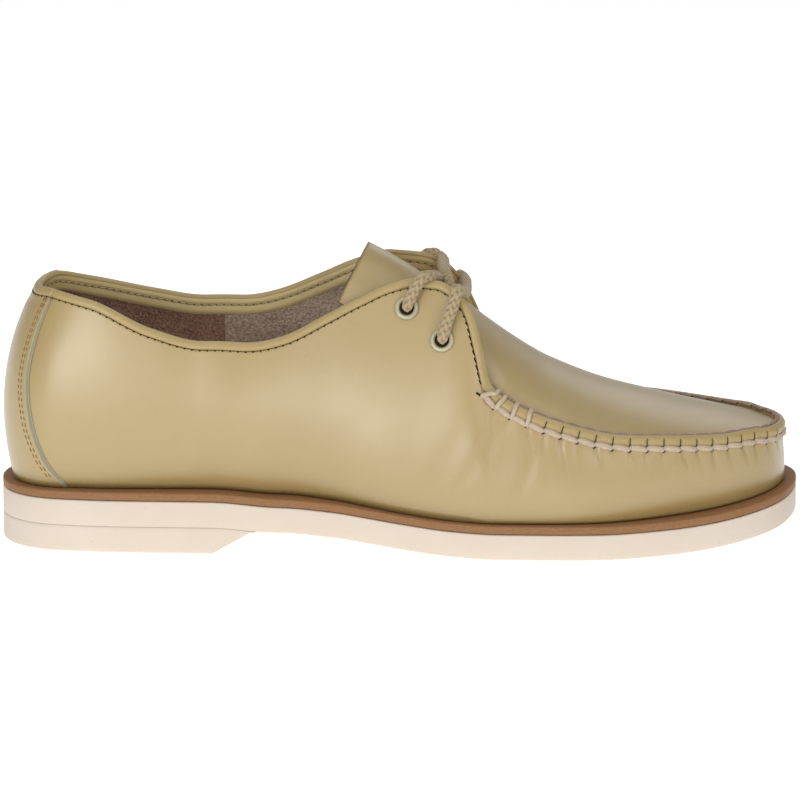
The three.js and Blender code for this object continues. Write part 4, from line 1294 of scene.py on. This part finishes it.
def make_eyelet(name, centre, facing):
    barrel, seat = eyelet_hole_radius + eyelet_barrel_wall, curved_seat_gap
    crown = seat + eyelet_flange_height
    arc = np.linspace(0, math.pi, 9)
    half = (eyelet_flange_radius - eyelet_hole_radius) / 2
    middle = eyelet_hole_radius + half
    profile = [(eyelet_hole_radius, -upper_wall), (barrel, -upper_wall), (barrel, seat)]
    profile += [(middle + half * math.cos(a), seat - 0.1 + (crown - seat) * math.sin(a)) for a in arc]
    turns = np.linspace(0, 2 * math.pi, 48, endpoint=False)
    side = np.cross(facing, (1.0, 0.0, 0.0))
    side /= np.linalg.norm(side)
    up = np.cross(facing, side)
    circle = side * np.cos(turns)[:, None] + up * np.sin(turns)[:, None]
    grid = np.array([centre + facing * height + circle * radius for radius, height in profile])
    faces = grid_faces(len(profile), len(turns), wrap_rows=True, wrap_columns=True)
    made = mesh_object(f"eyelet_ring_{name}", grid.reshape(-1, 3), faces, [enamel])
    weld(made, 0.001)
    # Painted shade: a dark disc where the shaded inside of the eyelet's hole would show.
    disc = centre + facing * (seat - 0.05) + circle * (barrel - 0.1)
    hole = mesh_object(f"eyelet_hole_{name}", disc, [list(range(len(turns)))], [painted_hole_shade])
    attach(hole, "root")
    return finish_piece(made, "eyelet_enamel", f"eyelet_{name}")


for name, (centre, facing) in eyelet_seats.items():
    make_eyelet(name, centre, facing)
print("eyelets:", len(eyelet_seats))

# %% [markdown]
# The lace enters and leaves through the eyelets. Beside the wall a row of its route names a side; over the
# tongue it names a share of the way across. Its heights and distances are shares of the lace's diameter. The
# cord is soft here, so it lies closer to the leather than the stiff solids can.

# %% Lace routes
beside = "along side above outward"
over = "along across above"
lower_bar_route = [
    *table(
        beside,
        (0.5555, "lateral", -2.6, 0.8), (0.562, "lateral", -1.1, 0.76),
        (0.5655, "lateral", 0.1, 0.62), (0.5685, "lateral", 0.42, -0.2),
    ),
    *table(over, (0.572, 0.25, 0.95), (0.573, 0.5, 0.6), (0.5715, 0.75, 0.55)),
    *table(
        beside,
        (0.567, "medial", 0.4, -0.2), (0.564, "medial", 0.0, 0.62),
        (0.561, "medial", -0.9, 0.8), (0.555, "medial", -2.3, 0.85),
    ),
]
lateral_strand_route = [
    *table(
        beside, (0.514, "lateral", -0.8, 0.74), (0.5225, "lateral", 0.1, 0.62), (0.53, "lateral", 0.4, -0.2)
    ),
    *table(over, (0.5365, 0.2, 0.8), (0.5405, 0.36, 0.5), (0.5425, 0.55, 0.45), (0.545, 0.7, 0.4)),
]
medial_strand_route = [
    *table(
        beside, (0.517, "medial", -0.95, 0.74), (0.529, "medial", -0.1, 0.6), (0.5375, "medial", 0.25, -0.2)
    ),
    *table(
        over,
        (0.5435, 0.7, 1.1), (0.5455, 0.5, 1.2), (0.549, 0.33, 1.1), (0.555, 0.2, 0.75), (0.5595, 0.14, 0.3),
    ),
]
tongue_crest = curve_through(tongue_sections[::-1] + apron_crest, "height")


def lace_point(row):
    above = row["above"] * lace_diameter
    if "side" in row:
        u = turn_at(row["along"], row["side"])
        return wall_point(u, 1 + above / section_at(u)[3], row["outward"] * lace_diameter)
    lateral, medial = (wall_point(turn_at(row["along"], side), 1, 0) for side in ("lateral", "medial"))
    point = lateral + (medial - lateral) * row["across"]
    point[2] = midsole_top(point[0]) + tongue_crest(row["along"]) * upper_height + above
    return point


def through_eyelet(seat):
    """Points of the lace from behind the wall out through an eyelet, pulled a little up and forwards."""
    centre, facing = eyelet_seats[seat]
    lean, high = np.array([0.08, 0.0, 0.14]), np.array([0.25, 0.0, 0.5])
    return [centre + high + facing * distance + lean * distance for distance in (-5.0, -1.5, 1.8)]


strand_spacing, strand_columns = 2.9, 4


def braid_tube(name, points, pulled_ends):
    """A plaited cord of slanting strands, drawn thinner where an end is pulled through an eyelet."""
    line = spline(points, 24)
    arc = lengths_along(line)
    stations = np.arange(0, arc[-1], 0.24)
    line = np.stack([np.interp(stations, arc, line[:, k]) for k in range(3)], axis=-1)
    for _ in range(12):
        line[1:-1] += (line[:-2] + line[2:] - 2 * line[1:-1]) * 0.3
    tangent = np.gradient(line, axis=0)
    tangent /= np.linalg.norm(tangent, axis=1)[:, None]
    side = np.cross(tangent[0], (0.0, 0.0, 1.0))
    frames = []
    for direction in tangent:
        side = side - direction * side.dot(direction)
        side /= np.linalg.norm(side)
        frames.append((side, np.cross(direction, side)))
    turns = np.linspace(0, 2 * math.pi, 54, endpoint=False)
    angle, place = np.meshgrid(turns, stations)
    pull = 2 * math.pi * place / strand_spacing
    switch = np.cos(strand_columns * angle)
    one, other = (0.5 + 0.5 * np.cos(strand_columns * angle + sign * pull) for sign in (1, -1))
    weave = np.maximum(np.sqrt(one) * (0.72 + 0.28 * switch), np.sqrt(other) * (0.72 - 0.28 * switch))
    pulled = smoothstep(10.0, 4.5, place)
    if pulled_ends == 2:
        pulled = np.maximum(pulled, smoothstep(stations[-1] - 10.0, stations[-1] - 4.5, place))
    radius = (lace_diameter / 2 - 0.36 + 0.5 * weave) * (1 - 0.2 * pulled)
    sides, ups = (np.array([f[k] for f in frames])[:, None] for k in (0, 1))
    ring = np.cos(turns)[None, :, None] * sides + np.sin(turns)[None, :, None] * ups
    grid = line[:, None] + ring * radius[..., None]
    faces = grid_faces(len(stations), len(turns), wrap_columns=True)
    last = (len(stations) - 1) * len(turns)
    ends = [list(range(len(turns)))[::-1], list(range(last, last + len(turns)))]
    # Painted shade: darker where the weave sinks between strands.
    painted = {"crease_shade": np.clip(1.15 - 1.3 * weave, 0, 1)}
    made = mesh_object(name, grid.reshape(-1, 3), faces + ends, [lace_finish], attributes=painted)
    uv = made.data.uv_layers.new(name="braid")
    loops = np.zeros(len(made.data.loops), int)
    made.data.loops.foreach_get("vertex_index", loops)
    flat = np.stack([place.ravel(), angle.ravel()], axis=-1)[loops] * MM
    uv.data.foreach_set("uv", flat.astype(np.float32).ravel())
    return made


def run_lace(name, first, route, node, second=None):
    points = through_eyelet(first) + [lace_point(row) for row in route]
    if second:
        points += through_eyelet(second)[::-1]
    return finish_piece(braid_tube(name, points, 2 if second else 1), "lace_cord", node)


run_lace("lace_lower", "lateral_lower", lower_bar_route, "lace_lower_bar", "medial_lower")
run_lace("lace_upper_lateral", "lateral_upper", lateral_strand_route, "lace_upper_crossing")
run_lace("lace_upper_medial", "medial_upper", medial_strand_route, "lace_upper_crossing")
print("lace:", [len(pieces[name].data.polygons) for name in pieces if name.startswith("lace")], "faces")

# %% [markdown]
# ## Light, floor and camera
# A long lens from far away, twelve degrees above the floor, gives the flat product view. Large soft lights
# and a white floor that glows a little leave no shadow to speak of.

# %% Floor


def make_floor():
    half = 20000.0
    corners = [(-half, -half, 0.0), (half, -half, 0.0), (half, half, 0.0), (-half, half, 0.0)]
    finish = Finish("floor_paper", Roughness=0.95, Specular_IOR_Level=0.0, Emission_Strength=0.6)
    finish.shader.inputs["Emission Color"].default_value = (1, 1, 1, 1)
    paper = finish.noise(400, 1)
    tone = finish.mix(paper.clamped(0.0, 1.0), (0.9, 0.9, 0.9, 1), (0.92, 0.92, 0.92, 1))
    mesh_object("studio_floor", corners, [[0, 1, 2, 3]], [finish.feed(Base_Color=tone)])


make_floor()

# %% Camera and lights
shown_width, air_strength = 301.8, 0.34
camera_elevation, camera_distance, sensor_width = math.radians(12.0), 2600.0, 36.0
view_centre = np.array([110.0, 0.0, 51.3])


def look_from(made, place, target):
    made.location = Vector(place) * MM
    made.rotation_euler = (Vector(target) - Vector(place)).to_track_quat("-Z", "Y").to_euler()


def make_camera():
    data = bpy.data.cameras.new("photo_camera")
    data.sensor_width = sensor_width
    data.lens = sensor_width * camera_distance / shown_width
    data.clip_end = 50.0
    made = new_object("photo_camera", data)
    away = np.array([0.0, -math.cos(camera_elevation), math.sin(camera_elevation)])
    look_from(made, view_centre + away * camera_distance, view_centre)
    scene.camera = made


def make_light(name, place, size_mm, power):
    data = bpy.data.lights.new(name, "AREA")
    data.shape, data.size, data.size_y = "RECTANGLE", size_mm[0] * MM, size_mm[1] * MM
    data.energy = power
    look_from(new_object(name, data), place, view_centre)


make_camera()
make_light("overhead", (110, -200, 1100), (1300, 700), 3.0)
make_light("front_left", (-560, -1250, 740), (800, 900), 1.9)
make_light("soft_window", (-600, -1440, 240), (1000, 400), 7.0)
make_light("front_right", (900, -1250, 700), (800, 700), 4.0)
make_light("back", (150, 1000, 700), (1000, 600), 1.7)
world = bpy.data.worlds.new("studio_air")
world.use_nodes = True
air = world.node_tree.nodes["Background"].inputs
air["Color"].default_value, air["Strength"].default_value = (1, 1, 1, 1), air_strength
scene.world = world
scene.view_settings.view_transform = "Standard"
